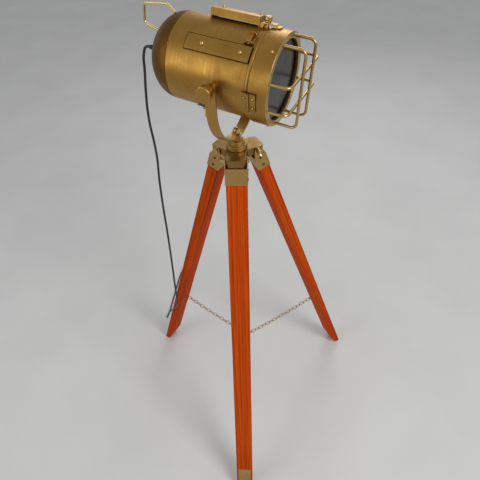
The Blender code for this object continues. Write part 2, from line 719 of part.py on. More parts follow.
def yoke(material, pan):
    """A flat bar bent to a U, with rounded ends and a flat seat, bored for the trunnions and the stud."""
    half = YOKE_WIDTH / 2
    stations = []
    for k in range(1, YOKE_END_STEPS + 1):
        angle = math.pi / 2 * (1 - k / (YOKE_END_STEPS + 0.5))
        stations.append((-YOKE_HALF_SPAN, half * math.sin(angle), -1, 0, half * math.cos(angle)))
    stations.append((-YOKE_HALF_SPAN, -YOKE_STRAIGHT, -1, 0, half))
    drop = YOKE_DEPTH - YOKE_STRAIGHT
    for k in range(1, YOKE_BEND_STEPS):
        if 2 * k == YOKE_BEND_STEPS:
            stations += [(-YOKE_FLAT, -YOKE_DEPTH, 0, -1, half), (YOKE_FLAT, -YOKE_DEPTH, 0, -1, half)]
            continue
        angle = math.pi * k / YOKE_BEND_STEPS
        normal = Vector((-drop * math.cos(angle), -YOKE_HALF_SPAN * math.sin(angle))).normalized()
        stations.append((-YOKE_HALF_SPAN * math.cos(angle), -YOKE_STRAIGHT - drop * math.sin(angle), *normal, half))
    mirrored = [(-y, z, -a, b, w) for y, z, a, b, w in stations[:YOKE_END_STEPS + 1]]
    stations += reversed(mirrored)
    shape = bmesh.new()
    rows = []
    for y, z, across, up, width in stations:
        inner = (y - across * YOKE_THICKNESS / 2, z - up * YOKE_THICKNESS / 2)
        outer = (y + across * YOKE_THICKNESS / 2, z + up * YOKE_THICKNESS / 2)
        rows.append([shape.verts.new((x, *p)) for x, p in ((-width, inner), (width, inner), (width, outer),
                                                           (-width, outer))])
    shape.faces.new(rows[0])
    shape.faces.new(rows[-1])
    for row, after in zip(rows, rows[1:]):
        for k in range(4):
            shape.faces.new((row[k], row[(k + 1) % 4], after[(k + 1) % 4], after[k]))
    bmesh.ops.recalc_face_normals(shape, faces=shape.faces)
    piece = solid("yoke", shape, material, pan)
    span = YOKE_HALF_SPAN + CUT_OVERRUN
    combine(piece, disc(TRUNNION_RADIUS + GAP, -span, span, PIN_STEPS, "Y"))
    combine(piece, disc(STUD_RADIUS + GAP, -YOKE_DEPTH - CUT_OVERRUN, -YOKE_DEPTH + CUT_OVERRUN, PIN_STEPS))


def cap_nut(material, pan):
    """The domed nut that holds the yoke on its stud."""
    seat = YOKE_THICKNESS / 2 - YOKE_DEPTH + GAP
    bore = (STUD_RADIUS + GAP) / math.cos(math.pi / 6)
    top = seat + CAP_NUT_HEIGHT
    profile = ((bore, seat), (CAP_NUT_RADIUS, seat), (CAP_NUT_RADIUS, top), (CAP_NUT_RADIUS * 0.85, top),
               (CAP_NUT_RADIUS * 0.6, top + CAP_NUT_DOME * 0.75), (0, top + CAP_NUT_DOME), (0, top + GAP),
               (bore, top + GAP))
    solid("yoke_nut", turned(profile, 6), material, pan)


def trunnion(name, turn, material, nod):
    """A shouldered bolt from inside the drum, through its wall and the yoke's arm, into the knob."""
    head = DRUM_INSIDE - GAP - TRUNNION_HEAD_HEIGHT * 1.5
    shoulder_start = DRUM_RADIUS + GAP
    shoulder_end = YOKE_HALF_SPAN - YOKE_THICKNESS / 2 - GAP
    tip = KNOB_FACE - KNOB_BEVEL - CUT_OVERRUN
    profile = ((0, head), (TRUNNION_HEAD_RADIUS, head), (TRUNNION_HEAD_RADIUS, head + TRUNNION_HEAD_HEIGHT),
               (TRUNNION_RADIUS, head + TRUNNION_HEAD_HEIGHT), (TRUNNION_RADIUS, shoulder_start),
               (SHOULDER_RADIUS, shoulder_start), (SHOULDER_RADIUS, shoulder_end), (TRUNNION_RADIUS, shoulder_end),
               (TRUNNION_RADIUS, tip), (0, tip))
    solid(f"tilt_trunnion_{name}", turned(profile, PIN_STEPS, "Y"), material, nod, Matrix.Rotation(turn, 4, "Z"))


def tilt_knob(name, turn, material, nod):
    """A turned knob with a hub and a flat face, screwed onto the trunnion."""
    hub = YOKE_HALF_SPAN + YOKE_THICKNESS / 2 + GAP
    body = hub + KNOB_HUB_LENGTH
    bore = TRUNNION_RADIUS + GAP
    depth = KNOB_FACE - KNOB_BEVEL - CUT_OVERRUN + GAP
    profile = ((bore, hub), (KNOB_HUB_RADIUS, hub), (KNOB_HUB_RADIUS, body), (KNOB_RADIUS, body + KNOB_BEVEL),
               (KNOB_RADIUS, KNOB_FACE - KNOB_BEVEL), (KNOB_RADIUS - KNOB_BEVEL, KNOB_FACE), (0, KNOB_FACE),
               (0, depth), (bore, depth))
    solid(f"tilt_knob_{name}", turned(profile, BOSS_STEPS, "Y"), material, nod, Matrix.Rotation(turn, 4, "Z"))


# Lamp case

def drum_shell(material, nod):
    """The tube with a rolled bead at its front, slots under the covers and holes for the fittings."""
    bead = DRUM_FRONT - BEAD_LENGTH
    profile = ((DRUM_INSIDE, DRUM_BACK), (DRUM_RADIUS, DRUM_BACK), (DRUM_RADIUS, bead),
               (DRUM_RADIUS + BEAD_RISE, bead + BEAD_LENGTH * 0.3), (DRUM_RADIUS + BEAD_RISE, DRUM_FRONT - BEAD_LENGTH * 0.2),
               (DRUM_RADIUS + BEAD_RISE / 2, DRUM_FRONT), (DRUM_INSIDE, DRUM_FRONT))
    piece = solid("drum_shell", turned(profile, BIG_STEPS, "X"), material, nod)
    through_wall = DRUM_RADIUS + CUT_OVERRUN
    combine(piece, disc(TRUNNION_RADIUS + GAP, -through_wall, through_wall, PIN_STEPS, "Y"))
    slots = []
    for angle in (COVER_SIDE_ANGLE, HOOD_ANGLE, COVER_FAR_ANGLE):
        for step in (-1, 1):
            slot = block((-SLOT_LENGTH / 2, -SLOT_WIDTH / 2, -CUT_OVERRUN), (SLOT_LENGTH / 2, SLOT_WIDTH / 2, CUT_OVERRUN))
            slots.append((slot, on_drum(step * SLOT_PITCH / 2 + (COVER_SCREW_PLACES[0] + COVER_SCREW_PLACES[1]) / 2,
                                        angle, DRUM_RADIUS)))
    combine(piece, gather(slots))
    holes = [(disc(SWITCH_BUSH_RADIUS + GAP, -CUT_OVERRUN, CUT_OVERRUN, PIN_STEPS),
              on_drum(SWITCH_PLACE, SWITCH_ANGLE, DRUM_RADIUS)),
             (disc(CLASP_SCREW_RADIUS + GAP, -CUT_OVERRUN, CUT_OVERRUN, PIN_STEPS),
              on_drum(CLASP_SCREW_PLACE, CLASP_ANGLE, DRUM_RADIUS))]
    combine(piece, gather(holes))


def rear_dome(material, nod):
    """The spun dome, with a skirt inside the drum and a hole for the cord gland at its pole."""
    def spun(radius, depth, count):
        hole = math.asin((GLAND_STEM_RADIUS + GAP) / radius)
        angles = [hole + (math.pi / 2 - hole) * k / count for k in range(count + 1)]
        return [(radius * math.sin(a), DRUM_BACK - GAP - depth * math.cos(a)) for a in angles]

    outside = spun(DRUM_RADIUS, DOME_DEPTH, DOME_STEPS)
    inside = spun(DRUM_INSIDE - GAP - SHEET, DOME_DEPTH - SHEET, DOME_STEPS)
    skirt = DRUM_BACK + DOME_SKIRT
    rim = DRUM_BACK - GAP
    profile = outside + [(DRUM_INSIDE - GAP, rim), (DRUM_INSIDE - GAP, skirt), (DRUM_INSIDE - GAP - SHEET, skirt)]
    profile += list(reversed(inside))
    solid("rear_dome", turned(profile, BIG_STEPS, "X"), material, nod)


def rear_handle(material, nod):
    """The bent wire handle on the dome, in the lamp's upright middle plane, its feet just off the dome's surface."""
    feet = []
    for angle, lift in zip(HANDLE_FOOT_ANGLES, HANDLE_FOOT_LIFTS):
        outward = Vector((-math.cos(angle) / DOME_DEPTH, math.sin(angle) / DRUM_RADIUS)).normalized()
        feet.append((DRUM_BACK - GAP - DOME_DEPTH * math.cos(angle) + lift * outward.x,
                     DRUM_RADIUS * math.sin(angle) + lift * outward.y))
    corners = [(x, 0, z) for x, z in (feet[0], *HANDLE_CORNERS, feet[1])]
    solid("rear_handle", wire(filleted(corners, HANDLE_BEND), Vector((0, 1, 0)), HANDLE_WIRE, 8), material, nod)


def vent_cover(name, angle, material, nod):
    """A raised curved plate over the slots, on feet at its ends and under its screws."""
    low = DRUM_RADIUS + GAP
    under = low + COVER_LIFT
    top = under + COVER_SHEET
    half = COVER_FOOT / 2
    feet = [(COVER_BACK, COVER_BACK + half)]
    feet += [(x - half, x + half) for x in COVER_SCREW_PLACES]
    feet.append((COVER_FRONT - half, COVER_FRONT))
    outline = []
    for start, end in feet:
        outline += [(start, under), (start, low), (end, low), (end, under)]
    outline = outline[1:-1] + [(COVER_FRONT, top), (COVER_BACK, top)]
    shape = sector(outline, angle - COVER_HALF_ANGLE, angle + COVER_HALF_ANGLE, 4)
    piece = solid(f"vent_cover_{name}", shape, material, nod)
    seats = [on_drum(x, angle, top) for x in COVER_SCREW_PLACES]
    if name == "near":
        for number, seat in enumerate(seats, 1):
            head = domed(CASE_SCREW_RADIUS, CASE_SCREW_HEIGHT)
            solid(f"cover_nut_{number}", head, material, nod, seat @ Matrix.Translation((0, 0, GAP)))
    else:
        add_heads(piece, CASE_SCREW_RADIUS, CASE_SCREW_HEIGHT, seats)


def vent_hood(material, nod):
    """The taller channel on top, open along its sides, with closed ends that stand on the drum."""
    low = DRUM_RADIUS + GAP
    top = DRUM_RADIUS + HOOD_TOP
    under = top - COVER_SHEET
    end = COVER_SHEET * 2
    outline = ((HOOD_BACK, low), (HOOD_BACK + end, low), (HOOD_BACK + end, under), (HOOD_FRONT - end, under),
               (HOOD_FRONT - end, low), (HOOD_FRONT, low), (HOOD_FRONT, top), (HOOD_BACK, top))
    start = HOOD_ANGLE - COVER_HALF_ANGLE
    finish_angle = HOOD_ANGLE + COVER_HALF_ANGLE
    piece = solid("vent_cover_top", sector(outline, start, finish_angle, 4), material, nod)
    width = COVER_SHEET / DRUM_RADIUS
    inset = COVER_SHEET / 4
    back, front, crest = HOOD_BACK + inset, HOOD_FRONT - inset, top - inset
    skirt = ((back, top - HOOD_SKIRT), (front, top - HOOD_SKIRT), (front, crest), (back, crest))
    for edge, inward in ((start, 1), (finish_angle, -1)):
        combine(piece, sector(skirt, edge + inward * width / 4, edge + inward * width, 1), "UNION")
    add_heads(piece, CASE_SCREW_RADIUS, CASE_SCREW_HEIGHT, [on_drum(x, HOOD_ANGLE, top) for x in COVER_SCREW_PLACES])


# Door ring and its hinge

def leaf_low():
    """Height of the hinge leaves' underside from the lamp's axis."""
    return RING_RADIUS + GAP * 1.5


def hinge_leaf(name, edge, spans, foot, material, holder, matrix):
    """A leaf with its knuckles, drawn in the hinge's frame: X forward, Y along the pin, Z outward."""
    low = leaf_low() - HINGE_PIN_HEIGHT
    high = low + LEAF_SHEET
    sign = 1 if edge > HINGE_PIN_PLACE else -1
    edge = edge - HINGE_PIN_PLACE
    near = sign * (KNUCKLE_RADIUS + GAP)
    across = sorted((edge, near))
    piece = solid(name, block((across[0], -HINGE_HALF_LENGTH, low), (across[1], HINGE_HALF_LENGTH, high)), material,
                  holder, matrix)
    inset = LEAF_SHEET / 8
    if foot:
        sole = DRUM_RADIUS + BEAD_RISE + GAP - HINGE_PIN_HEIGHT
        heel = RING_BACK - 2 * GAP - HINGE_PIN_PLACE
        half = HINGE_HALF_LENGTH - inset
        combine(piece, block((edge + inset, -half, sole), (heel, half, (low + high) / 2)), "UNION")
    for start, end in spans:
        tab = sorted((near * 2, 0))
        combine(piece, block((tab[0], start + inset, low + inset), (tab[1], end - inset, high - inset)), "UNION")
        combine(piece, disc(KNUCKLE_RADIUS, start, end, PIN_STEPS, "Y"), "UNION")
    overrun = HINGE_HALF_LENGTH + CUT_OVERRUN
    combine(piece, disc(HINGE_PIN_RADIUS + GAP, -overrun, overrun, HEAD_STEPS, "Y"))
    screw_x = (edge + near) / 2
    add_heads(piece, HINGE_SCREW_RADIUS, HINGE_SCREW_HEIGHT,
              [Matrix.Translation((screw_x, side * HINGE_SCREW_OFFSET, high)) for side in (-1, 1)])


def hinge(material, nod, door, matrix, back):
    """Butt hinge: two outer knuckles on the drum's leaf, one between them on the ring's, and the pin."""
    outer = ((-HINGE_HALF_LENGTH, -KNUCKLE_HALF_LENGTH - GAP), (KNUCKLE_HALF_LENGTH + GAP, HINGE_HALF_LENGTH))
    inner = ((-KNUCKLE_HALF_LENGTH, KNUCKLE_HALF_LENGTH),)
    hinge_leaf("hinge_leaf_drum", LEAF_DRUM_EDGE, outer, True, material, nod, matrix)
    hinge_leaf("hinge_leaf_ring", LEAF_RING_EDGE, inner, False, material, door, back @ matrix)
    pin = disc(HINGE_PIN_RADIUS, -HINGE_HALF_LENGTH - GAP, HINGE_HALF_LENGTH + GAP, HEAD_STEPS, "Y")
    solid("hinge_pin", pin, material, nod, matrix)


def door_ring(material, door, back):
    """The deep ring that closes the drum, with a turned-in lip at its front."""
    profile = ((RING_RADIUS - RING_SHEET, RING_BACK), (RING_RADIUS, RING_BACK), (RING_RADIUS, RING_FRONT - RING_SHEET),
               (RING_RADIUS - RING_SHEET / 2, RING_FRONT), (LIP_RADIUS, RING_FRONT), (LIP_RADIUS, RING_FRONT - LIP_SHEET),
               (RING_RADIUS - RING_SHEET, RING_FRONT - LIP_SHEET))
    solid("door_ring", turned(profile, BIG_STEPS, "X"), material, door, back)


def gasket_and_glass(rubber, glass, door, back):
    """A channel of rubber behind the lip, and the pane that it holds by the edge."""
    outer = RING_RADIUS - RING_SHEET - GAP
    front = RING_FRONT - LIP_SHEET - GAP
    pane_front = front - GASKET_THICKNESS
    pane_back = pane_front - GLASS_THICKNESS - 2 * GAP
    rear = pane_back - GASKET_THICKNESS / 2
    groove = outer - GLASS_EDGE
    profile = ((GASKET_RADIUS, rear), (outer, rear), (outer, front), (GASKET_RADIUS, front),
               (GASKET_RADIUS, pane_front), (groove, pane_front), (groove, pane_back), (GASKET_RADIUS, pane_back))
    solid("glass_gasket", turned(profile, BIG_STEPS, "X"), rubber, door, back)
    solid("door_glass", disc(groove - GAP, pane_back + GAP, pane_front - GAP, BIG_STEPS, "X"), glass, door, back)


def guard(material, door, back):
    """Two upright and two level U-shaped wires on the lip, welded where they cross."""
    foot = RING_FRONT + GAP
    behind = GUARD_FRONT - 2 * GUARD_WIRE + WELD
    span = GUARD_HALF_SPAN
    upright = []
    level = []
    for offset in (-GUARD_OFFSET, GUARD_OFFSET):
        corners = ((foot, offset, -span), (GUARD_FRONT, offset, -span), (GUARD_FRONT, offset, span), (foot, offset, span))
        upright.append((wire(filleted(corners, GUARD_BEND), Vector((0, 1, 0)), GUARD_WIRE, 8), Matrix.Identity(4)))
        corners = ((foot, -span, offset), (behind, -span, offset), (behind, span, offset), (foot, span, offset))
        level.append((wire(filleted(corners, GUARD_BEND), Vector((0, 0, 1)), GUARD_WIRE, 8), Matrix.Identity(4)))
    piece = solid("guard_wires", gather(upright), material, door, back)
    combine(piece, gather(level), "UNION")


def ring_screws(material, door, back):
    """Screws round the door ring."""
    for number, angle in enumerate(RING_SCREW_ANGLES, 1):
        solid(f"ring_screw_{number}", domed(RING_SCREW_RADIUS, RING_SCREW_HEIGHT), material, door,
              back @ on_drum(RING_SCREW_PLACE, angle, RING_RADIUS + GAP))


# Clasp, catch lug and switch

def clasp(material, knob_material, nod):
    """A strap whose heel stands on the drum and whose toe holds the ring down, under a thumb screw."""
    heel = DRUM_RADIUS + GAP
    crest = DRUM_RADIUS + CLASP_RISE
    toe = RING_RADIUS + CLASP_TOE_CLEARANCE
    sheet = CLASP_SHEET
    outline = ((CLASP_HEEL_BACK, heel), (CLASP_HEEL_FRONT, heel), (CLASP_HEEL_FRONT + sheet, crest - sheet),
               (CLASP_TOE_BACK - 2 * sheet, crest - sheet), (CLASP_TOE_BACK, toe), (CLASP_TOE_FRONT, toe),
               (CLASP_TOE_FRONT, toe + sheet), (CLASP_TOE_BACK + sheet / 2, toe + sheet),
               (CLASP_TOE_BACK - 1.5 * sheet, crest), (CLASP_HEEL_BACK + sheet, crest), (CLASP_HEEL_BACK, crest - sheet))
    place_on_axis = on_drum(0, CLASP_ANGLE, 0)
    piece = solid("clasp_strap", prism(outline, -CLASP_HALF_WIDTH, CLASP_HALF_WIDTH, "Y"), material, nod, place_on_axis)
    bore = disc(CLASP_SCREW_RADIUS + GAP, DRUM_RADIUS, crest + CUT_OVERRUN, PIN_STEPS)
    combine(piece, gather(((bore, Matrix.Translation((CLASP_SCREW_PLACE, 0, 0))),)))
    knob = crest + GAP
    tip = DRUM_INSIDE - CUT_OVERRUN
    profile = ((0, tip), (CLASP_SCREW_RADIUS, tip), (CLASP_SCREW_RADIUS, knob), (CLASP_KNOB_RADIUS, knob),
               (CLASP_KNOB_RADIUS, knob + CLASP_KNOB_HEIGHT - KNOB_BEVEL),
               (CLASP_KNOB_RADIUS - KNOB_BEVEL, knob + CLASP_KNOB_HEIGHT), (0, knob + CLASP_KNOB_HEIGHT))
    solid("clasp_screw", turned(profile, PIN_STEPS), knob_material, nod,
          on_drum(CLASP_SCREW_PLACE, CLASP_ANGLE, 0))


def catch_lug(material, nod):
    """A folded lug with a cross pin, standing on the drum behind its bead."""
    low = DRUM_RADIUS + GAP
    foot = low + LUG_SHEET
    front = LUG_FRONT - LUG_BACK
    inset = LUG_SHEET / 4
    base = block((inset, inset - LUG_HALF_WIDTH, low + inset), (front - inset, LUG_HALF_WIDTH - inset, foot + inset))
    piece = solid("catch_lug", base, material, nod, on_drum(LUG_BACK, LUG_ANGLE, 0))
    for side in (-1, 1):
        wall = sorted((side * LUG_HALF_WIDTH, side * (LUG_HALF_WIDTH - LUG_SHEET)))
        outline = ((0, low), (front, low), (front, low + LUG_HEIGHT * 0.7), (front * 0.75, low + LUG_HEIGHT),
                   (front * 0.35, low + LUG_HEIGHT), (0, low + LUG_HEIGHT * 0.5))
        combine(piece, prism(outline, wall[0], wall[1], "Y"), "UNION")
    pin = disc(LUG_PIN_RADIUS, -LUG_HALF_WIDTH - LUG_PIN_OVERHANG, LUG_HALF_WIDTH + LUG_PIN_OVERHANG, HEAD_STEPS, "Y")
    combine(piece, gather(((pin, Matrix.Translation((front * 0.55, 0, low + LUG_HEIGHT * 0.6))),)), "UNION")


def switch(black, metal, nod):
    """A toggle switch under the drum: box inside, plate and bush outside, and the lever in its well."""
    plate = DRUM_RADIUS + GAP
    bush_top = plate + SWITCH_BUSH_HEIGHT
    facet_middle = DRUM_INSIDE * math.cos(math.pi / BIG_STEPS)
    inside = facet_middle * math.cos(math.asin(SWITCH_BODY_WIDTH / 2 / DRUM_INSIDE)) - GAP
    spot = on_drum(SWITCH_PLACE, SWITCH_ANGLE, 0)
    piece = solid("switch_body", block((-SWITCH_BODY_LENGTH / 2, -SWITCH_BODY_WIDTH / 2, inside - SWITCH_BODY_DEPTH),
                                       (SWITCH_BODY_LENGTH / 2, SWITCH_BODY_WIDTH / 2, inside)), black, nod, spot)
    combine(piece, disc(SWITCH_BUSH_RADIUS, inside - GAP, bush_top, PIN_STEPS), "UNION")
    combine(piece, block((-SWITCH_PLATE_LENGTH / 2, -SWITCH_PLATE_WIDTH / 2, plate),
                         (SWITCH_PLATE_LENGTH / 2, SWITCH_PLATE_WIDTH / 2, plate + SWITCH_PLATE_THICKNESS)), "UNION")
    well = ((0, plate - CUT_OVERRUN), (TOGGLE_WELL_RADIUS, plate - CUT_OVERRUN),
            (TOGGLE_WELL_RADIUS, bush_top + CUT_OVERRUN), (0, bush_top + CUT_OVERRUN))
    combine(piece, turned(well, PIN_STEPS))
    pivot = frame("toggle_pivot", nod, spot @ Vector((0, 0, plate)), Matrix.Rotation(SWITCH_ANGLE, 4, "X"))
    ball = TOGGLE_WELL_RADIUS - 2 * GAP
    tip = SWITCH_BUSH_HEIGHT + TOGGLE_LENGTH
    lever = ((0, -ball * 0.8), (ball * 0.6, -ball * 0.7), (ball * 0.95, 0), (ball * 0.6, ball * 0.7),
             (TOGGLE_RADIUS, ball), (TOGGLE_RADIUS, SWITCH_BUSH_HEIGHT), (TOGGLE_TIP_RADIUS, tip - TOGGLE_TIP_RADIUS),
             (TOGGLE_TIP_RADIUS * 0.7, tip), (0, tip))
    solid("switch_toggle", turned(lever, HEAD_STEPS), metal, pivot, Matrix.Rotation(TOGGLE_THROW, 4, "Y"))


# Inside the lamp, and the cord

def reflector(material, nod):
    """A spun bowl with a cylindrical rim that fits the drum, open at its back for the lampholder."""
    rim = DRUM_INSIDE - GAP
    mouth = rim - REFLECTOR_SHEET * 2
    front = []
    for k in range(REFLECTOR_STEPS + 1):
        radius = REFLECTOR_HOLE + (mouth - REFLECTOR_HOLE) * k / REFLECTOR_STEPS
        depth = (radius ** 2 - REFLECTOR_HOLE ** 2) / (mouth ** 2 - REFLECTOR_HOLE ** 2)
        front.append((radius, REFLECTOR_BACK + (REFLECTOR_FRONT - REFLECTOR_BACK) * depth))
    back = [(radius + REFLECTOR_SHEET * 0.8, x - REFLECTOR_SHEET * 0.6) for radius, x in front[:-1]]
    profile = front + [(rim, REFLECTOR_FRONT), (rim, REFLECTOR_FRONT - REFLECTOR_RIM),
                       (rim - REFLECTOR_SHEET, REFLECTOR_FRONT - REFLECTOR_RIM)] + list(reversed(back))
    solid("reflector", turned(profile, BIG_STEPS, "X"), material, nod)


def lampholder(material, nod):
    """The cup that takes the bulb's cap, on the end of the gland's stem."""
    bore = GLAND_STEM_RADIUS + GAP
    cup = HOLDER_FRONT - HOLDER_CUP_DEPTH
    inner = HOLDER_RADIUS - HOLDER_WALL
    profile = ((bore, HOLDER_BACK), (HOLDER_RADIUS * 0.7, HOLDER_BACK), (HOLDER_RADIUS, HOLDER_BACK + HOLDER_WALL * 2),
               (HOLDER_RADIUS, HOLDER_FRONT), (inner, HOLDER_FRONT), (inner, cup), (bore, cup))
    solid("lampholder", turned(profile, BOSS_STEPS, "X"), material, nod)


def bulb(material, nod):
    """A round lamp whose cap sits in the lampholder."""
    cap = HOLDER_FRONT - HOLDER_CUP_DEPTH + GAP
    profile = [(0, cap), (BULB_BASE_RADIUS * 0.7, cap), (BULB_BASE_RADIUS, cap + HOLDER_WALL),
               (BULB_BASE_RADIUS, BULB_SHOULDER)]
    start = math.radians(35)
    for k in range(BULB_STEPS):
        angle = start + (math.pi - start) * k / BULB_STEPS
        profile.append((BULB_RADIUS * math.sin(angle), BULB_MIDDLE - BULB_RADIUS * math.cos(angle)))
    profile.append((0, BULB_MIDDLE + BULB_RADIUS))
    solid("bulb", turned(profile, BOSS_STEPS, "X"), material, nod)


def gland_and_relief(metal, rubber, nod):
    """A hollow threaded nipple through the dome that carries the lampholder, and the tapered sleeve behind it."""
    pole = DRUM_BACK - GAP - DOME_DEPTH
    flange_back = pole - GAP - GLAND_FLANGE
    cup = HOLDER_FRONT - HOLDER_CUP_DEPTH - 2 * GAP
    profile = ((GLAND_BORE_RADIUS, flange_back), (GLAND_RADIUS, flange_back), (GLAND_RADIUS, pole - GAP),
               (GLAND_STEM_RADIUS, pole - GAP), (GLAND_STEM_RADIUS, cup), (GLAND_BORE_RADIUS, cup))
    solid("gland_nipple", turned(profile, PIN_STEPS, "X"), metal, nod)
    root = flange_back - GAP
    sleeve = ((0, root), (RELIEF_RADIUS, root), (RELIEF_TIP_RADIUS, root - RELIEF_LENGTH), (0, root - RELIEF_LENGTH))
    solid("strain_relief", turned(sleeve, PIN_STEPS, "X"), rubber, nod)
    return root - RELIEF_LENGTH


def cord(relief_end, material, nod, axis):
    """The flex from the strain relief to the plug, hanging beside the left leg and lying on the floor."""
    bpy.context.view_layer.update()
    to_axis = axis.matrix_world.inverted() @ nod.matrix_world
    start = to_axis @ Vector((relief_end - GAP, 0, 0))
    straight = to_axis @ Vector((relief_end - GAP - 2 * CORD_RADIUS, 0, 0))
    back = Matrix.Rotation(PLUG_TURN, 3, "Z") @ Vector((-1, 0, 0))
    tail = Vector(PLUG_PLACE) + back * (PLUG_TAIL + GAP)
    lead = tail + back * 2 * CORD_RADIUS
    rise = TILT_HEIGHT / CORD_ROUTE_LAMP_HEIGHT
    route = [(x, y, z * rise if z > PLUG_THICKNESS else z) for x, y, z in CORD_ROUTE]
    path = [start, *through([straight, *route, lead], CORD_POINTS), tail]
    cable("cord", path, CORD_RADIUS, 2, material, axis)
    print("cord length", round(sum((b - a).length for a, b in zip(path, path[1:])), 3))


def plug(material, axis):
    """A flat two-pin plug on the floor, with its tapered tail towards the cord."""
    spot = Matrix.Translation(PLUG_PLACE) @ Matrix.Rotation(PLUG_TURN, 4, "Z")
    half = PLUG_WIDTH / 2
    outline = ((0, -half + PLUG_CORNER), (PLUG_CORNER, -half), (PLUG_LENGTH - PLUG_CORNER / 2, -half * 0.85),
               (PLUG_LENGTH, -half * 0.7), (PLUG_LENGTH, half * 0.7), (PLUG_LENGTH - PLUG_CORNER / 2, half * 0.85),
               (PLUG_CORNER, half), (0, half - PLUG_CORNER))
    piece = solid("plug", prism(outline, -PLUG_THICKNESS / 2, PLUG_THICKNESS / 2), material, axis, spot)
    tail = ((0, -PLUG_TAIL), (CORD_RADIUS * 1.3, -PLUG_TAIL), (PLUG_TAIL_RADIUS, PLUG_CORNER / 2), (0, PLUG_CORNER / 2))
    combine(piece, turned(tail, HEAD_STEPS, "X"), "UNION")
    pins = [(disc(PLUG_PIN_RADIUS, PLUG_LENGTH - WELD, PLUG_LENGTH + PLUG_PIN_LENGTH, HEAD_STEPS, "X"),
             Matrix.Translation((0, side * PLUG_PIN_SPACING / 2, 0))) for side in (-1, 1)]
    combine(piece, gather(pins), "UNION")


def build_stand(axis, finishes):
    head_casting(finishes["brass"], axis)
    swivel_post(finishes["brass"], axis)
    for name, azimuth in LEG_NAMES_AND_AZIMUTHS:
        turn = math.radians(azimuth)
        outward = Vector((math.cos(turn), math.sin(turn), 0))
        along = outward * math.sin(SPLAY) - Vector((0, 0, math.cos(SPLAY)))
        out = outward * math.cos(SPLAY) + Vector((0, 0, math.sin(SPLAY)))
        across = out.cross(-along)
        turned_to_leg = Matrix((across, out, -along)).transposed().to_4x4()
        pivot = outward * PIVOT_RADIUS + Vector((0, 0, PIVOT_HEIGHT))
        hinge_frame = frame(f"leg_hinge_{name}", axis, pivot, turned_to_leg)
        leg(name, finishes["wood"], hinge_frame)
        leg_bracket(name, finishes["brass"], hinge_frame)
        hinge_bolt(name, finishes["bright"], hinge_frame)
        wing_nut(name, finishes["brass"], hinge_frame)
        toe_plate(name, finishes["brass"], hinge_frame)
        chain_eye(name, finishes["bright"], hinge_frame)
        eye_reach, eye_height = eye_middle()
        swing = frame(f"chain_swing_{name}", axis, outward * eye_reach + Vector((0, 0, eye_height)),
                      Matrix.Rotation(turn, 4, "Z"))
        chain_strand(name, finishes["bright"], swing)
        if name == "front":
            chain_ring(finishes["bright"], swing)


def build_lamp(axis, finishes):
    brass = finishes["brass"]
    bright = finishes["bright"]
    pan = frame("lamp_pan", axis, (0, 0, TILT_HEIGHT), Matrix.Rotation(LAMP_TURN, 4, "Z"))
    nod = frame("lamp_nod", pan, (0, 0, 0), Matrix.Rotation(LAMP_NOD, 4, "Y"))
    hinge_place = on_drum(HINGE_PIN_PLACE, HINGE_ANGLE, HINGE_PIN_HEIGHT)
    door = frame("door_hinge", nod, hinge_place.to_translation(), Matrix.Rotation(HINGE_ANGLE, 4, "X"))
    back = hinge_place.inverted()
    yoke(brass, pan)
    cap_nut(bright, pan)
    for name, turn in (("far", 0), ("near", math.pi)):
        trunnion(name, turn, bright, nod)
        tilt_knob(name, turn, brass, nod)
    drum_shell(brass, nod)
    rear_dome(brass, nod)
    rear_handle(bright, nod)
    vent_cover("near", COVER_SIDE_ANGLE, brass, nod)
    vent_cover("far", COVER_FAR_ANGLE, brass, nod)
    vent_hood(brass, nod)
    hinge(brass, nod, door, hinge_place, back)
    door_ring(brass, door, back)
    gasket_and_glass(finishes["rubber"], finishes["glass"], door, back)
    guard(bright, door, back)
    ring_screws(bright, door, back)
    clasp(brass, bright, nod)
    catch_lug(brass, nod)
    switch(finishes["black"], bright, nod)
    reflector(finishes["mirror"], nod)
    lampholder(finishes["black"], nod)
    bulb(finishes["glass"], nod)
    relief_end = gland_and_relief(bright, finishes["rubber"], nod)
    cord(relief_end, finishes["rubber"], nod, axis)
    plug(finishes["black"], axis)


def build():
    clear_scene()
    finishes = {
        "brass": finish("antique_brass", (0.30, 0.17, 0.055), 0.34, 1.0),
        "bright": finish("bright_brass", (0.55, 0.36, 0.13), 0.25, 1.0),
        "wood": finish("honey_wood", (0.42, 0.085, 0.015), 0.38, 0.0),
        "glass": finish("clear_glass", (0.30, 0.32, 0.30), 0.05, 0.0),
        "rubber": finish("black_rubber", (0.012, 0.012, 0.012), 0.60, 0.0),
        "black": finish("black_plastic", (0.015, 0.015, 0.015), 0.40, 0.0),
        "mirror": finish("bright_mirror", (0.75, 0.75, 0.74), 0.12, 1.0),
    }
    axis = frame("stand_axis", None, (0, AXIS_Y, 0))
    build_stand(axis, finishes)
    build_lamp(axis, finishes)


build()
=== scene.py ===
from math import asin, atan2, cos, pi, radians, sin

import bmesh
import bpy
from mathutils import Matrix, Vector


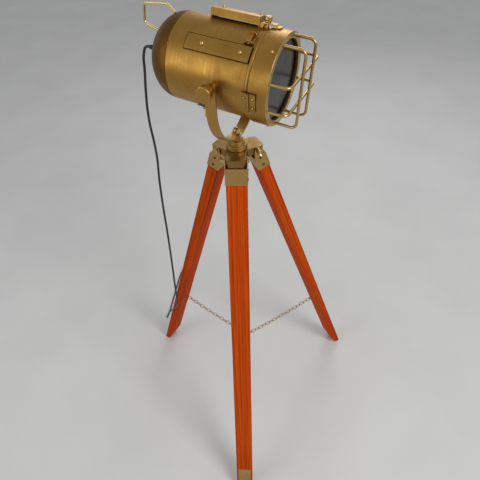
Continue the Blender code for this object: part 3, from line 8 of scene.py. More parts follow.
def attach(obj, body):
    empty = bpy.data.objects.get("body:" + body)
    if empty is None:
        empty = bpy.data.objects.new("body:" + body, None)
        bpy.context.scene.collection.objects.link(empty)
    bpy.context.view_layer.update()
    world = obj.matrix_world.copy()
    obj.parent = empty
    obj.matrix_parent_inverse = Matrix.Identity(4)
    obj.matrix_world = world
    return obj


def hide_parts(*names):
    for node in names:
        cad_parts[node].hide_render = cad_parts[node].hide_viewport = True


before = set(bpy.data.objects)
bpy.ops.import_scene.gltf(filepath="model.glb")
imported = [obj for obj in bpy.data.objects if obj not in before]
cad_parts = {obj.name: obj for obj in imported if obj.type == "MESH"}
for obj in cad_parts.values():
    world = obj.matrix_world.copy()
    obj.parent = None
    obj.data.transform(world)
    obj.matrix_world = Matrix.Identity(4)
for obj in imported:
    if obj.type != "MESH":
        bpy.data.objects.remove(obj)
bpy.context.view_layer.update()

# Sizes shared with the solids, in metres
GAP = 0.0003
LEGS = {"front": -90, "right": 30, "left": 150}
LEG_WIDTH, LEG_DEPTH, LEG_TOP = 0.050, 0.030, 0.018
PIVOT_RADIUS, PIVOT_HEIGHT, FOOT_RADIUS = 0.042, 1.066, 0.400
TIP_CUT, TIP_LENGTH = 0.012, 0.070
BRACKET_SHEET, TOE_SHEET, TOE_LIFT = 0.0013, 0.0015, 0.0005
SPLAY = atan2(FOOT_RADIUS - PIVOT_RADIUS, PIVOT_HEIGHT)
HEAD_TOP, HEAD_BOTTOM = PIVOT_HEIGHT + 0.010, PIVOT_HEIGHT - 0.010
LAMP_TURN, LAMP_NOD = radians(-22.49), radians(4.89)
DRUM_RADIUS, DRUM_SHEET, BEAD_RISE = 0.088, 0.0015, 0.0025
DRUM_BACK, DRUM_FRONT, DOME_DEPTH = -0.108, 0.074, 0.067
RING_RADIUS, RING_BACK, RING_FRONT = 0.092, 0.0745, 0.114
YOKE_HALF_SPAN, YOKE_STRAIGHT, YOKE_DEPTH = 0.102, 0.050, 0.155
YOKE_WIDTH, YOKE_THICKNESS, YOKE_LIFT = 0.024, 0.004, 0.033
YOKE_SEAT = HEAD_TOP + YOKE_LIFT
TILT_HEIGHT = YOKE_SEAT + YOKE_THICKNESS / 2 + YOKE_DEPTH
STUD_RADIUS, BOLT_RADIUS, POST_PIN_RADIUS, TRUNNION_RADIUS = 0.0045, 0.003, 0.006, 0.004
NUT_HEAD_RADIUS = 0.0055
BRACKET_HALF_WIDTH = LEG_WIDTH / 2 + GAP + BRACKET_SHEET
BRACKET_HALF_DEPTH = LEG_DEPTH / 2 + GAP + BRACKET_SHEET
TOE_OUTSIDE = LEG_DEPTH / 2 + GAP + TOE_SHEET
HINGE_ANGLE, HINGE_PIN_PLACE, HINGE_PIN_HEIGHT = radians(98), 0.0777, 0.0952
HINGE_HALF, HINGE_PIN_RADIUS = 0.021, 0.0014
EYE_PLACE, EYE_STEM, EYE_RADIUS, EYE_WIRE = 0.747, 0.003, 0.004, 0.0011
CHAIN_RING_RADIUS, CHAIN_RING_WIRE, CHAIN_RING_DROP = 0.008, 0.00125, 0.0428
COVERS = {"near": radians(44), "top": radians(-16), "far": radians(-72)}
COVER_HALF, COVER_SCREWS = radians(10.5), (-0.036, 0.044)
COVER_NUT = (0.0041, 0.0036)
CLASP_ANGLE, CLASP_PLACE, CLASP_SCREW_RADIUS = radians(-10), 0.0640, 0.0028
SWITCH_ANGLE, SWITCH_PLACE, SWITCH_BUSH_RADIUS = radians(146), -0.036, 0.006
OVERRUN = 0.004
ROUND = 96


# Where each group of pieces stands

def at(x=0, y=0, z=0):
    return Matrix.Translation((x, y, z))


def spun(angle, axis):
    return Matrix.Rotation(angle, 4, axis)


def spread(start, end, count):
    """Evenly spaced values from start to end, both included."""
    return [start + (end - start) * k / count for k in range(count + 1)]


def floor_along(out):
    """How far down a leg the floor lies, for a line that stands out from the leg's middle."""
    return (PIVOT_HEIGHT + out * sin(SPLAY)) / cos(SPLAY)


def reach_of(along, out):
    """How far from the stand's axis a place on a leg is: so far down the leg, so far out from its middle."""
    return PIVOT_RADIUS + along * sin(SPLAY) + out * cos(SPLAY)


def on_drum(x, angle, radius):
    """A place on the lamp: so far along its axis, so far round from its top, at a radius, Z outward."""
    outward = Vector((0, -sin(angle), cos(angle)))
    return at(*(Vector((x, 0, 0)) + outward * radius)) @ spun(angle, "X")


def leg_place(azimuth):
    turn = radians(azimuth)
    outward = Vector((cos(turn), sin(turn), 0))
    along = outward * sin(SPLAY) - Vector((0, 0, cos(SPLAY)))
    out = outward * cos(SPLAY) + Vector((0, 0, sin(SPLAY)))
    turned_to_leg = Matrix((out.cross(-along), out, -along)).transposed().to_4x4()
    return STAND @ at(*(outward * PIVOT_RADIUS + Vector((0, 0, PIVOT_HEIGHT)))) @ turned_to_leg


# The stand's axis lies halfway between the reach of the front toe and that of the two back legs
TOE_REACH = reach_of(floor_along(TOE_OUTSIDE) - TOE_LIFT / cos(SPLAY), TOE_OUTSIDE)
LEG_REACH = reach_of(floor_along(LEG_DEPTH / 2), LEG_DEPTH / 2)
BACK_REACH = LEG_REACH * sin(radians(30)) + LEG_WIDTH / 2 * cos(radians(30))
AXIS_Y = (TOE_REACH - BACK_REACH) / 2
STAND = at(0, AXIS_Y, 0)
YOKE = STAND @ at(0, 0, TILT_HEIGHT) @ spun(LAMP_TURN, "Z")
LAMP = YOKE @ spun(LAMP_NOD, "Y")
LAMP_HINGE = LAMP @ on_drum(HINGE_PIN_PLACE, HINGE_ANGLE, HINGE_PIN_HEIGHT)
EYE_OUT = -LEG_DEPTH / 2 - GAP - EYE_STEM - EYE_RADIUS
EYE_REACH = reach_of(EYE_PLACE, EYE_OUT)
EYE_HEIGHT = PIVOT_HEIGHT - EYE_PLACE * cos(SPLAY) + EYE_OUT * sin(SPLAY)


# Node trees

class Bench:
    """Lays nodes in a tree. Each call makes one node, sets its values and joins its inputs."""

    def __init__(self, tree):
        self.tree = tree

    def __call__(self, kind, inputs=None, **settings):
        node = self.tree.nodes.new(kind)
        for key, value in settings.items():
            setattr(node, key, value)
        for key, value in (inputs or {}).items():
            self.feed(node.inputs[key], value)
        return node

    def feed(self, socket, value):
        """Joins another node's output to the socket, or sets a plain value on it."""
        if isinstance(value, bpy.types.NodeSocket):
            self.tree.links.new(value, socket)
        else:
            socket.default_value = value

    def maths(self, operation, first, second=0.0):
        return self("ShaderNodeMath", {0: first, 1: second}, operation=operation).outputs[0]

    def scaled(self, vector, by):
        return self("ShaderNodeVectorMath", {0: vector, 1: by}, operation="MULTIPLY").outputs[0]

    def noise(self, place, scale, detail, roughness=0.5, wander=0.0):
        return self("ShaderNodeTexNoise", {"Vector": place, "Scale": scale, "Detail": detail,
                                           "Roughness": roughness, "Distortion": wander}).outputs["Fac"]

    def ramp(self, factor, stops):
        node = self("ShaderNodeValToRGB", {"Fac": factor})
        points = node.color_ramp.elements
        for k, (position, colour) in enumerate(stops):
            point = points[k] if k < 2 else points.new(position)
            point.position = position
            point.color = (*colour, 1)
        return node.outputs["Color"]

    def blend(self, factor, first, second):
        node = self("ShaderNodeMix", data_type="RGBA")
        for number, value in ((0, factor), (6, first), (7, second)):
            self.feed(node.inputs[number], value)
        return node.outputs[2]

    def range(self, value, low, high, start=0.0, end=1.0):
        """Maps the span from start to end onto the span from low to high."""
        return self("ShaderNodeMapRange", {"Value": value, "From Min": start, "From Max": end, "To Min": low,
                                           "To Max": high}).outputs["Result"]


def group(name, inputs, outputs, kind="ShaderNodeTree"):
    """A node group whose named inputs and outputs are given with their types."""
    tree = bpy.data.node_groups.new(name, kind)
    for way, sockets in (("INPUT", inputs), ("OUTPUT", outputs)):
        for label, form in sockets.items():
            tree.interface.new_socket(name=label, in_out=way, socket_type=f"NodeSocket{form}")
    add = Bench(tree)
    return tree, add, add("NodeGroupInput").outputs


SURFACE = {"Colour": "Color", "Roughness": "Float", "Height": "Float"}


def make_patina():
    """Aged brass: broad blotches, fine brush lines and small spots."""
    tree, add, given = group("brass_patina", {"Place": "Vector", "Bright": "Color", "Aged": "Color",
                                              "Brush": "Vector", "Roughness": "Float"}, SURFACE)
    blotch = add.noise(given["Place"], 16, 5, 0.62, 0.4)
    lines = add.noise(add.scaled(given["Place"], given["Brush"]), 1, 3, 0.6)
    spots = add.noise(given["Place"], 420, 2)
    colour = add.blend(add.range(blotch, 0.0, 0.75, 0.30, 0.72), given["Bright"], given["Aged"])
    colour = add.blend(add.range(lines, 0.0, 0.30, 0.35, 0.75), colour, given["Aged"])
    colour = add.blend(add.range(spots, 0.0, 0.35, 0.62, 0.78), colour, given["Aged"])
    rough = add.maths("ADD", given["Roughness"], add.range(lines, -0.07, 0.09, 0.3, 0.7))
    rough = add.maths("ADD", rough, add.range(blotch, -0.04, 0.10, 0.3, 0.7))
    add("NodeGroupOutput", {"Colour": colour, "Roughness": rough, "Height": lines})
    return tree


def make_edge_rubbing_and_highlight():
    """A mask that is 1 on edges, for rubbing and for a painted highlight along the edges, broken up so it
    isn't even.
    """
    tree, add, given = group("edge_rubbing_and_highlight", {"Place": "Vector", "Width": "Float"}, {"Mask": "Float"})
    rounded = add("ShaderNodeBevel", {"Radius": given["Width"]}, samples=4).outputs[0]
    face = add("ShaderNodeNewGeometry").outputs["Normal"]
    match = add("ShaderNodeVectorMath", {0: rounded, 1: face}, operation="DOT_PRODUCT").outputs["Value"]
    edge = add.range(match, 1.0, 0.0, 0.86, 0.985)
    broken = add.range(add.noise(given["Place"], 160, 4), 0.45, 1.0, 0.3, 0.6)
    add("NodeGroupOutput", {"Mask": add.maths("MULTIPLY", edge, broken)})
    return tree


def make_grain():
    """Straight wood grain along the leg: broad bands, fine lines and short dark pores."""
    tree, add, given = group("wood_grain", {"Place": "Vector", "Light": "Color", "Middle": "Color",
                                            "Dark": "Color"}, SURFACE)

    def stretched(across, along, detail, wander):
        return add.noise(add.scaled(given["Place"], (across, across, along)), 1, detail, 0.6, wander)

    bands = stretched(170, 1.6, 4, 0.5)
    lines = stretched(620, 5, 3, 0.2)
    pores = stretched(1300, 60, 2, 0)
    greys = ((0.30, 0), (0.46, 0.35), (0.55, 0.7), (0.70, 1))
    tone = add.ramp(bands, [(position, (grey, grey, grey)) for position, grey in greys])
    colour = add.blend(tone, given["Middle"], given["Light"])
    colour = add.blend(add.range(lines, 0.0, 0.80, 0.50, 0.72), colour, given["Dark"])
    colour = add.blend(add.range(pores, 0.0, 0.55, 0.62, 0.75), colour, given["Dark"])
    rough = add.range(lines, 0.42, 0.56, 0.3, 0.7)
    add("NodeGroupOutput", {"Colour": colour, "Roughness": rough, "Height": lines})
    return tree


def make_speckle():
    """A moulded or cast surface: a fine uneven sheen with a little dust."""
    tree, add, given = group("moulded_speckle", {"Place": "Vector", "Base": "Color", "Dust": "Color",
                                                 "Amount": "Float", "Smooth": "Float"}, SURFACE)
    fine = add.noise(given["Place"], 900, 2)
    broad = add.noise(given["Place"], 30, 4)
    dust = add.maths("MULTIPLY", add.range(broad, 0.0, 1.0, 0.45, 0.75), given["Amount"])
    colour = add.blend(dust, given["Base"], given["Dust"])
    rough = add.maths("ADD", given["Smooth"], add.range(broad, -0.05, 0.12, 0.3, 0.7))
    add("NodeGroupOutput", {"Colour": colour, "Roughness": rough, "Height": fine})
    return tree


PATINA, EDGE_RUBBING_AND_HIGHLIGHT, GRAIN, SPECKLE = make_patina(), make_edge_rubbing_and_highlight(), make_grain(), make_speckle()


def blank_material(name, kept_place=True, **sockets):
    """A material with a bare Principled shader, its plain values, and the place that its patterns read."""
    material = bpy.data.materials.new(name)
    material.use_nodes = True
    add = Bench(material.node_tree)
    shader = material.node_tree.nodes["Principled BSDF"]
    for key, value in sockets.items():
        shader.inputs[key.replace("_", " ")].default_value = value
    if kept_place:
        node = add("ShaderNodeAttribute", attribute_name="place", attribute_type="GEOMETRY")
    else:
        node = add("ShaderNodeTexCoord")
    return material, add, shader, node.outputs["Vector" if kept_place else "Object"]


def join(add, shader, colour, roughness, height, strength, distance=0.0001):
    bump = add("ShaderNodeBump", {"Height": height, "Strength": strength, "Distance": distance}).outputs[0]
    for key, value in (("Base Color", colour), ("Roughness", roughness), ("Normal", bump)):
        add.feed(shader.inputs[key], value)


def brass(name, bright, aged, roughness, brush, rubbed_and_highlit_edge_colour=None):
    """Brass with its patina, and paler edges where they are asked for: rubbing, and partly a painted edge
    highlight.
    """
    material, add, shader, place = blank_material(name, Metallic=1.0)
    patina = add("ShaderNodeGroup", {"Place": place, "Bright": (*bright, 1), "Aged": (*aged, 1),
                                     "Brush": brush, "Roughness": roughness}, node_tree=PATINA).outputs
    if rubbed_and_highlit_edge_colour is None:
        join(add, shader, patina["Colour"], patina["Roughness"], patina["Height"], 0.06)
        return material
    # Paler edges: rubbing, and partly a painted highlight along every edge
    rubbing_and_highlight_mask = add("ShaderNodeGroup", {"Place": place, "Width": 0.0008}, node_tree=EDGE_RUBBING_AND_HIGHLIGHT).outputs["Mask"]
    colour = add.blend(rubbing_and_highlight_mask, patina["Colour"], (*rubbed_and_highlit_edge_colour, 1))
    join(add, shader, colour, add.range(rubbing_and_highlight_mask, patina["Roughness"], 0.22), patina["Height"], 0.10)
    return material


DRUM_BRASS = brass("drum_brass", (0.47, 0.27, 0.063), (0.275, 0.14, 0.026), 0.38, (900, 18, 18),
                   (0.66, 0.46, 0.18))
DOME_BRASS = brass("dome_brass", (0.20, 0.095, 0.019), (0.115, 0.05, 0.009), 0.42, (700, 24, 24),
                   (0.50, 0.31, 0.10))
BAR_BRASS = brass("bar_brass", (0.52, 0.30, 0.078), (0.34, 0.18, 0.04), 0.33, (500, 30, 30),
                  (0.72, 0.54, 0.26))
CAST_BRASS = brass("cast_brass", (0.36, 0.225, 0.072), (0.20, 0.115, 0.032), 0.34, (120, 120, 120),
                   (0.66, 0.50, 0.23))
SHEET_BRASS = brass("sheet_brass", (0.54, 0.345, 0.125), (0.38, 0.23, 0.072), 0.38, (400, 30, 30),
                    (0.82, 0.66, 0.38))
TURNED_BRASS = brass("turned_brass", (0.48, 0.31, 0.10), (0.32, 0.195, 0.055), 0.48, (60, 60, 700),
                     (0.76, 0.58, 0.28))
BRIGHT_BRASS = brass("polished_brass", (0.62, 0.45, 0.19), (0.40, 0.26, 0.09), 0.30, (300, 60, 60),
                     (0.84, 0.68, 0.38))
WIRE_BRASS = brass("wire_brass", (0.74, 0.57, 0.29), (0.54, 0.38, 0.16), 0.30, (90, 90, 90))
GUARD_BRASS = brass("guard_brass", (0.60, 0.425, 0.165), (0.40, 0.265, 0.085), 0.33, (90, 90, 90))
CHAIN_BRASS = brass("chain_brass", (0.50, 0.31, 0.08), (0.18, 0.10, 0.024), 0.30, (200, 200, 200))
# Painted shade: near-black brass laid where shade falls, under screw heads and along cover and hinge edges
PAINTED_SHADE_BRASS = brass("painted_shade_brass", (0.055, 0.03, 0.009), (0.022, 0.012, 0.004), 0.55, (200, 200, 200))


def make_wood():
    material, add, shader, place = blank_material("oiled_wood", Coat_Weight=0.02, Coat_Roughness=0.30,
                                                  Coat_IOR=1.3, IOR=1.12, Specular_IOR_Level=0.12)
    grain = add("ShaderNodeGroup", {"Place": place, "Light": (0.61, 0.084, 0.006, 1),
                                    "Middle": (0.37, 0.037, 0.004, 1), "Dark": (0.12, 0.011, 0.002, 1)},
                node_tree=GRAIN).outputs
    rubbing_and_highlight_mask = add("ShaderNodeGroup", {"Place": place, "Width": 0.0015}, node_tree=EDGE_RUBBING_AND_HIGHLIGHT).outputs["Mask"]
    # Paler orange on the eased edges: rubbing, and partly a painted highlight
    colour = add.blend(add.maths("MULTIPLY", rubbing_and_highlight_mask, 0.6), grain["Colour"], (0.80, 0.21, 0.04, 1))
    join(add, shader, colour, grain["Roughness"], grain["Height"], 0.12, 0.00015)
    return material


def moulded(name, base, dust, amount, smooth, height=0.10, **more):
    material, add, shader, place = blank_material(name, **more)
    speckle = add("ShaderNodeGroup", {"Place": place, "Base": (*base, 1), "Dust": (*dust, 1),
                                      "Amount": amount, "Smooth": smooth}, node_tree=SPECKLE).outputs
    join(add, shader, speckle["Colour"], speckle["Roughness"], speckle["Height"], height)
    return material


HONEY_WOOD = make_wood()
BLACK_RUBBER = moulded("soft_rubber", (0.014, 0.014, 0.014), (0.05, 0.047, 0.042), 0.45, 0.55)
BLACK_PLASTIC = moulded("hard_plastic", (0.016, 0.016, 0.017), (0.06, 0.055, 0.05), 0.25, 0.36)
PORCELAIN = moulded("holder_porcelain", (0.60, 0.57, 0.50), (0.34, 0.30, 0.24), 0.5, 0.22, 0.05)
SPUN_ALUMINIUM = moulded("spun_aluminium", (0.62, 0.62, 0.60), (0.40, 0.38, 0.34), 0.5, 0.20, 0.05,
                         Metallic=1.0)
BULB_CAP = moulded("bulb_cap", (0.55, 0.54, 0.50), (0.3, 0.28, 0.24), 0.4, 0.28, 0.05, Metallic=1.0)
SMOKED_GLASS = moulded("smoked_glass", (0.052, 0.060, 0.054), (0.042, 0.048, 0.044), 0.6, 0.16, 0.03,
                       Transmission_Weight=1.0, IOR=1.33)
OPAL_GLASS = moulded("opal_glass", (0.78, 0.77, 0.73), (0.60, 0.58, 0.54), 0.4, 0.12, 0.02,
                     Transmission_Weight=0.25, IOR=1.46)
# A curve carries no kept place, so the cord's rubber reads the object's coordinates
FLEX_RUBBER = moulded("flex_rubber", (0.013, 0.013, 0.013), (0.05, 0.047, 0.042), 0.4, 0.42,
                      kept_place=False)


# Shapes

def eased(outline, cut, steps=3):
    """Rounds the corners of a closed outline that are off the turning axis."""
    points = [Vector(p) for p in outline]
    result = []
    for k, point in enumerate(points):
        before, after = points[k - 1] - point, points[(k + 1) % len(points)] - point
        if point.x == 0 or before.angle(after) > radians(165):
            result.append(tuple(point))
            continue
        room = min(cut, before.length * 0.45, after.length * 0.45)
        start, end = point + before.normalized() * room, point + after.normalized() * room
        for t in spread(0, 1, steps):
            result.append(tuple((1 - t) ** 2 * start + 2 * t * (1 - t) * point + t * t * end))
    return result


def skinned(rows):
    """A closed shape over rows of corners, with its first and last rows capped."""
    shape = bmesh.new()
    rows = [[shape.verts.new(corner) for corner in row] for row in rows]
    shape.faces.new(rows[0])
    shape.faces.new(rows[-1])
    for row, after in zip(rows, rows[1:]):
        for k in range(len(row)):
            other = (k + 1) % len(row)
            shape.faces.new((row[k], row[other], after[other], after[k]))
    bmesh.ops.recalc_face_normals(shape, faces=shape.faces)
    return shape


def prism(outline, low, high, axis="Z"):
    """An outline drawn in the other two axes, run from low to high along the named axis."""
    put = {"X": lambda a, b, c: (c, a, b), "Y": lambda a, b, c: (a, c, b),
           "Z": lambda a, b, c: (a, b, c)}[axis]
    return skinned([[put(a, b, level) for a, b in outline] for level in (low, high)])


def block(low, high):
    (x, y, z), (far_x, far_y, far_z) = low, high
    return prism(((x, y), (far_x, y), (far_x, far_y), (x, far_y)), z, far_z)


def turned(profile, steps=ROUND, axis="Z"):
    """A closed profile of (radius, height) pairs, turned about the named axis."""
    put = {"X": lambda r, c, s, h: (h, r * c, r * s), "Y": lambda r, c, s, h: (r * s, h, r * c),
           "Z": lambda r, c, s, h: (r * c, r * s, h)}[axis]
    shape = bmesh.new()
    rings = []
    for radius, height in profile:
        turns = [2 * pi * k / steps for k in range(1 if radius == 0 else steps)]
        rings.append([shape.verts.new(put(radius, cos(t), sin(t), height)) for t in turns])
    for ring, after in zip(rings, rings[1:] + rings[:1]):
        for k in range(steps):
            corners = [ring[k % len(ring)], ring[(k + 1) % steps % len(ring)],
                       after[(k + 1) % steps % len(after)], after[k % len(after)]]
            corners = list(dict.fromkeys(corners))
            if len(corners) > 2:
                shape.faces.new(corners)
    bmesh.ops.recalc_face_normals(shape, faces=shape.faces)
    return shape


def disc(radius, low, high, steps=ROUND // 2, axis="Z"):
    return turned(((0, low), (radius, low), (radius, high), (0, high)), steps, axis)


def sector(outline, start, end, steps, rim=0.0):
    """(x, radius) pairs swept round the lamp's axis. A rim is a narrow strip along each long edge."""
    angles = spread(start, end, steps)
    if rim:
        inner = [a for a in angles if start + 1.5 * rim < a < end - 1.5 * rim]
        angles[1:-1] = [start + rim, *inner, end - rim]
    return skinned([[(x, -r * sin(a), r * cos(a)) for x, r in outline] for a in angles])


def moved(shape, matrix):
    bmesh.ops.transform(shape, matrix=matrix, verts=shape.verts)
    return shape


def merged(shape, other):
    mesh = bpy.data.meshes.new("part")
    other.to_mesh(mesh)
    other.free()
    shape.from_mesh(mesh)
    bpy.data.meshes.remove(mesh)
    return shape


def through(points, count):
    """A smooth curve through route points, read at even spacing."""
    points = [Vector(p) for p in points]
    padded = [2 * points[0] - points[1], *points, 2 * points[-1] - points[-2]]
    fine = []
    for a, b, c, d in zip(padded, padded[1:], padded[2:], padded[3:]):
        for t in spread(0, 1, 40)[:-1]:
            fine.append((2 * b + (c - a) * t + (2 * a - 5 * b + 4 * c - d) * t ** 2
                         + (3 * b - a - 3 * c + d) * t ** 3) / 2)
    fine.append(points[-1])
    lengths = [0.0]
    for a, b in zip(fine, fine[1:]):
        lengths.append(lengths[-1] + (b - a).length)
    path, k = [], 0
    for wanted in spread(0, lengths[-1], count - 1):
        while k < len(fine) - 2 and lengths[k + 1] < wanted:
            k += 1
        path.append(fine[k].lerp(fine[k + 1], (wanted - lengths[k]) / (lengths[k + 1] - lengths[k])))
    return path


# Finished pieces

def shown(name, data):
    """A new object in the scene."""
    thing = bpy.data.objects.new(name, data)
    bpy.context.scene.collection.objects.link(thing)
    return thing


def draft_of(name, shape):
    mesh = bpy.data.meshes.new(name)
    shape.to_mesh(mesh)
    shape.free()
    return shown(f"{name}_draft", mesh)


def cut_with(draft, way, other):
    modifier = draft.modifiers.new("shape", "BOOLEAN")
    modifier.operation = way
    modifier.object = other
    other.hide_render = True


def baked(draft):
    """The draft object's final mesh, with the draft and its cutters removed."""
    bpy.context.view_layer.update()
    mesh = bpy.data.meshes.new_from_object(draft.evaluated_get(bpy.context.evaluated_depsgraph_get()))
    for modifier in list(draft.modifiers):
        if modifier.type == "BOOLEAN":
            bpy.data.objects.remove(modifier.object)
    bpy.data.objects.remove(draft)
    return mesh


def set_down(name, mesh, material, body, place, stands_for=(), shift=(0, 0, 0)):
    """Keeps each point's own place for the materials, puts the mesh where it stands and gives it its body."""
    attribute = mesh.attributes.new("place", "FLOAT_VECTOR", "POINT")
    shift = Vector(shift)
    attribute.data.foreach_set("vector", [c for v in mesh.vertices for c in v.co + shift])
    mesh.transform(place)
    mesh.name = name
    mesh.materials.clear()
    mesh.materials.append(material)
    piece = shown(name, mesh)
    if stands_for:
        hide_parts(*([stands_for] if isinstance(stands_for, str) else stands_for))
    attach(piece, body)
    return piece


def make(name, shape, material, body, place, node=None, ease=0.0, steps=2, cuts=(), joins=(), limit=35,
         shift=(0, 0, 0)):
    """A piece from a shape drawn in its own frame, with holes cut, parts joined on and edges eased."""
    draft = draft_of(name, shape)
    for way, others in (("UNION", joins), ("DIFFERENCE", cuts)):
        for number, other in enumerate(others):
            cut_with(draft, way, draft_of(f"{name}_{way.lower()}_{number}", other))
    if ease:
        modifier = draft.modifiers.new("eased", "BEVEL")
        modifier.width = ease
        modifier.segments = steps
        modifier.limit_method = "ANGLE"
        modifier.angle_limit = radians(limit)
    mesh = baked(draft)
    mesh.shade_smooth()
    mesh.set_sharp_from_angle(angle=radians(limit))
    draft = shown(f"{name}_draft", mesh)
    draft.modifiers.new("even", "WEIGHTED_NORMAL").keep_sharp = True
    return set_down(name, baked(draft), material, body, place, name if node is None else node, shift)


def paint(piece, material, place, chosen):
    """A second material for the faces that are chosen by their middle and normal in the place's own frame."""
    piece.data.materials.append(material)
    back = place.inverted()
    for face in piece.data.polygons:
        if chosen(back @ face.center, back.to_3x3() @ face.normal):
            face.material_index = 1


# Geometry node trees

def growing_group(name, inputs):
    """A geometry tree with the named inputs besides its geometry and its material."""
    sockets = {"Geometry": "Geometry", **inputs, "Material": "Material"}
    return group(name, sockets, {"Geometry": "Geometry"}, "GeometryNodeTree")


def end_tree(tree, add, given, geometry):
    """Ends a geometry tree with real geometry that has the given material."""
    real = add("GeometryNodeRealizeInstances", {"Geometry": geometry}).outputs[0]
    done = add("GeometryNodeSetMaterial", {"Geometry": real, "Material": given["Material"]}).outputs[0]
    add("NodeGroupOutput", {"Geometry": done})
    return tree


def circle(add, sides, radius):
    return add("GeometryNodeCurvePrimitiveCircle", {"Resolution": sides, "Radius": radius}).outputs[0]


def make_wire_tree():
    """Bent round wire: edges become curves, their corners are rounded and a round section follows them."""
    tree, add, given = growing_group("bent_wire", {"Wire Radius": "Float", "Bend Radius": "Float",
                                                   "Bend Steps": "Int", "Sides": "Int"})
    line = add("GeometryNodeMeshToCurve", {"Mesh": given["Geometry"]}).outputs[0]
    bent = add("GeometryNodeFilletCurve", {"Curve": line, "Radius": given["Bend Radius"],
                                           "Limit Radius": True, "Count": given["Bend Steps"]},
               mode="POLY").outputs[0]
    section = circle(add, given["Sides"], given["Wire Radius"])
    tube = add("GeometryNodeCurveToMesh", {"Curve": bent, "Profile Curve": section, "Fill Caps": True})
    return end_tree(tree, add, given, tube.outputs[0])


def on_points(add, given, instance, turn):
    return add("GeometryNodeInstanceOnPoints", {"Points": given["Geometry"], "Instance": instance,
                                                "Rotation": turn}).outputs[0]


def kept(add, name):
    return add("GeometryNodeInputNamedAttribute", {"Name": name}, data_type="FLOAT_VECTOR").outputs[0]


def make_chain_tree():
    """A chain link on every point, lying along the point's run with its width along the point's side."""
    tree, add, given = growing_group("chain_links", {"Half Run": "Float", "Half Width": "Float",
                                                     "Wire Radius": "Float"})
    ring = circle(add, 26, given["Half Width"])
    spot = add("ShaderNodeSeparateXYZ", {0: add("GeometryNodeInputPosition").outputs[0]}).outputs
    sign = add.maths("SIGN", add.maths("ADD", spot["X"], 0.000001))
    pull = add("ShaderNodeCombineXYZ", {"X": add.maths("MULTIPLY", sign, given["Half Run"])}).outputs[0]
    oval = add("GeometryNodeSetPosition", {"Geometry": ring, "Offset": pull}).outputs[0]
    section = circle(add, 12, given["Wire Radius"])
    link = add("GeometryNodeCurveToMesh", {"Curve": oval, "Profile Curve": section}).outputs[0]
    turn = add("FunctionNodeAxesToRotation", {"Primary Axis": kept(add, "run"),
                                              "Secondary Axis": kept(add, "side")},
               primary_axis="X", secondary_axis="Y").outputs[0]
    return end_tree(tree, add, given, on_points(add, given, link, turn))


def make_head_tree():
    """A screw or rivet head on every point, standing along the point's own direction."""
    tree, add, given = growing_group("screw_heads", {"Head": "Object", "Radius": "Float", "Height": "Float"})
    shape = add("GeometryNodeObjectInfo", {"Object": given["Head"]}).outputs["Geometry"]
    size = add("ShaderNodeCombineXYZ", {"X": given["Radius"], "Y": given["Radius"],
                                        "Z": given["Height"]}).outputs[0]
    shape = add("GeometryNodeTransform", {"Geometry": shape, "Scale": size}).outputs[0]
    turn = add("FunctionNodeAlignRotationToVector", {"Vector": kept(add, "stands")}, axis="Z").outputs[0]
    return end_tree(tree, add, given, on_points(add, given, shape, turn))


WIRE_TREE, CHAIN_TREE, HEAD_TREE = make_wire_tree(), make_chain_tree(), make_head_tree()


def grown(name, mesh, tree, values):
    """The mesh that a geometry node tree makes from a starting mesh, with its named inputs set."""
    draft = shown(f"{name}_draft", mesh)
    modifier = draft.modifiers.new("grown", "NODES")
    modifier.node_group = tree
    for item in tree.interface.items_tree:
        if item.in_out == "INPUT" and item.name in values:
            modifier[item.identifier] = values[item.name]
    result = baked(draft)
    shape = bmesh.new()
    shape.from_mesh(result)
    bmesh.ops.recalc_face_normals(shape, faces=shape.faces)
    shape.to_mesh(result)
    shape.free()
    result.shade_smooth()
    result.set_sharp_from_angle(angle=radians(50))
    return result


def keep(mesh, name, directions):
    """Keeps a direction on each point of a mesh under a name."""
    attribute = mesh.attributes.new(name, "FLOAT_VECTOR", "POINT")
    attribute.data.foreach_set("vector", [c for direction in directions for c in direction])


def wires(name, paths, radius, bend, material, body, place, closed=False, sides=20, steps=9):
    """Wires along paths of corners."""
    mesh = bpy.data.meshes.new(name)
    points, edges = [], []
    for path in paths:
        first = len(points)
        points += [tuple(p) for p in path]
        edges += [(first + k, first + k + 1) for k in range(len(path) - 1)]
        if closed:
            edges.append((len(points) - 1, first))
    mesh.from_pydata(points, edges, [])
    result = grown(name, mesh, WIRE_TREE, {"Wire Radius": radius, "Bend Radius": bend, "Bend Steps": steps,
                                           "Sides": sides, "Material": material})
    return set_down(name, result, material, body, place, name)


def make_head_drafts():
    """A head of radius 1 and height 1 on its plane, plain and with a driver slot."""
    foot, rim, sides = -0.12, 0.10, 28
    profile = [(0, foot), (0.97, foot), (1, rim)]
    profile += [(cos(a), rim + (1 - rim) * sin(a)) for a in spread(0, pi / 2, 9)[1:-1]] + [(0, 1)]
    plain = draft_of("plain_head", turned(profile, sides))
    slotted = draft_of("slotted_head", turned(profile, sides))
    cut_with(slotted, "DIFFERENCE", draft_of("head_slot", block((-1.2, -0.13, 0.55), (1.2, 0.13, 1.3))))
    return plain, shown("slotted_head", baked(slotted))


PLAIN_HEAD, SLOTTED_HEAD = make_head_drafts()


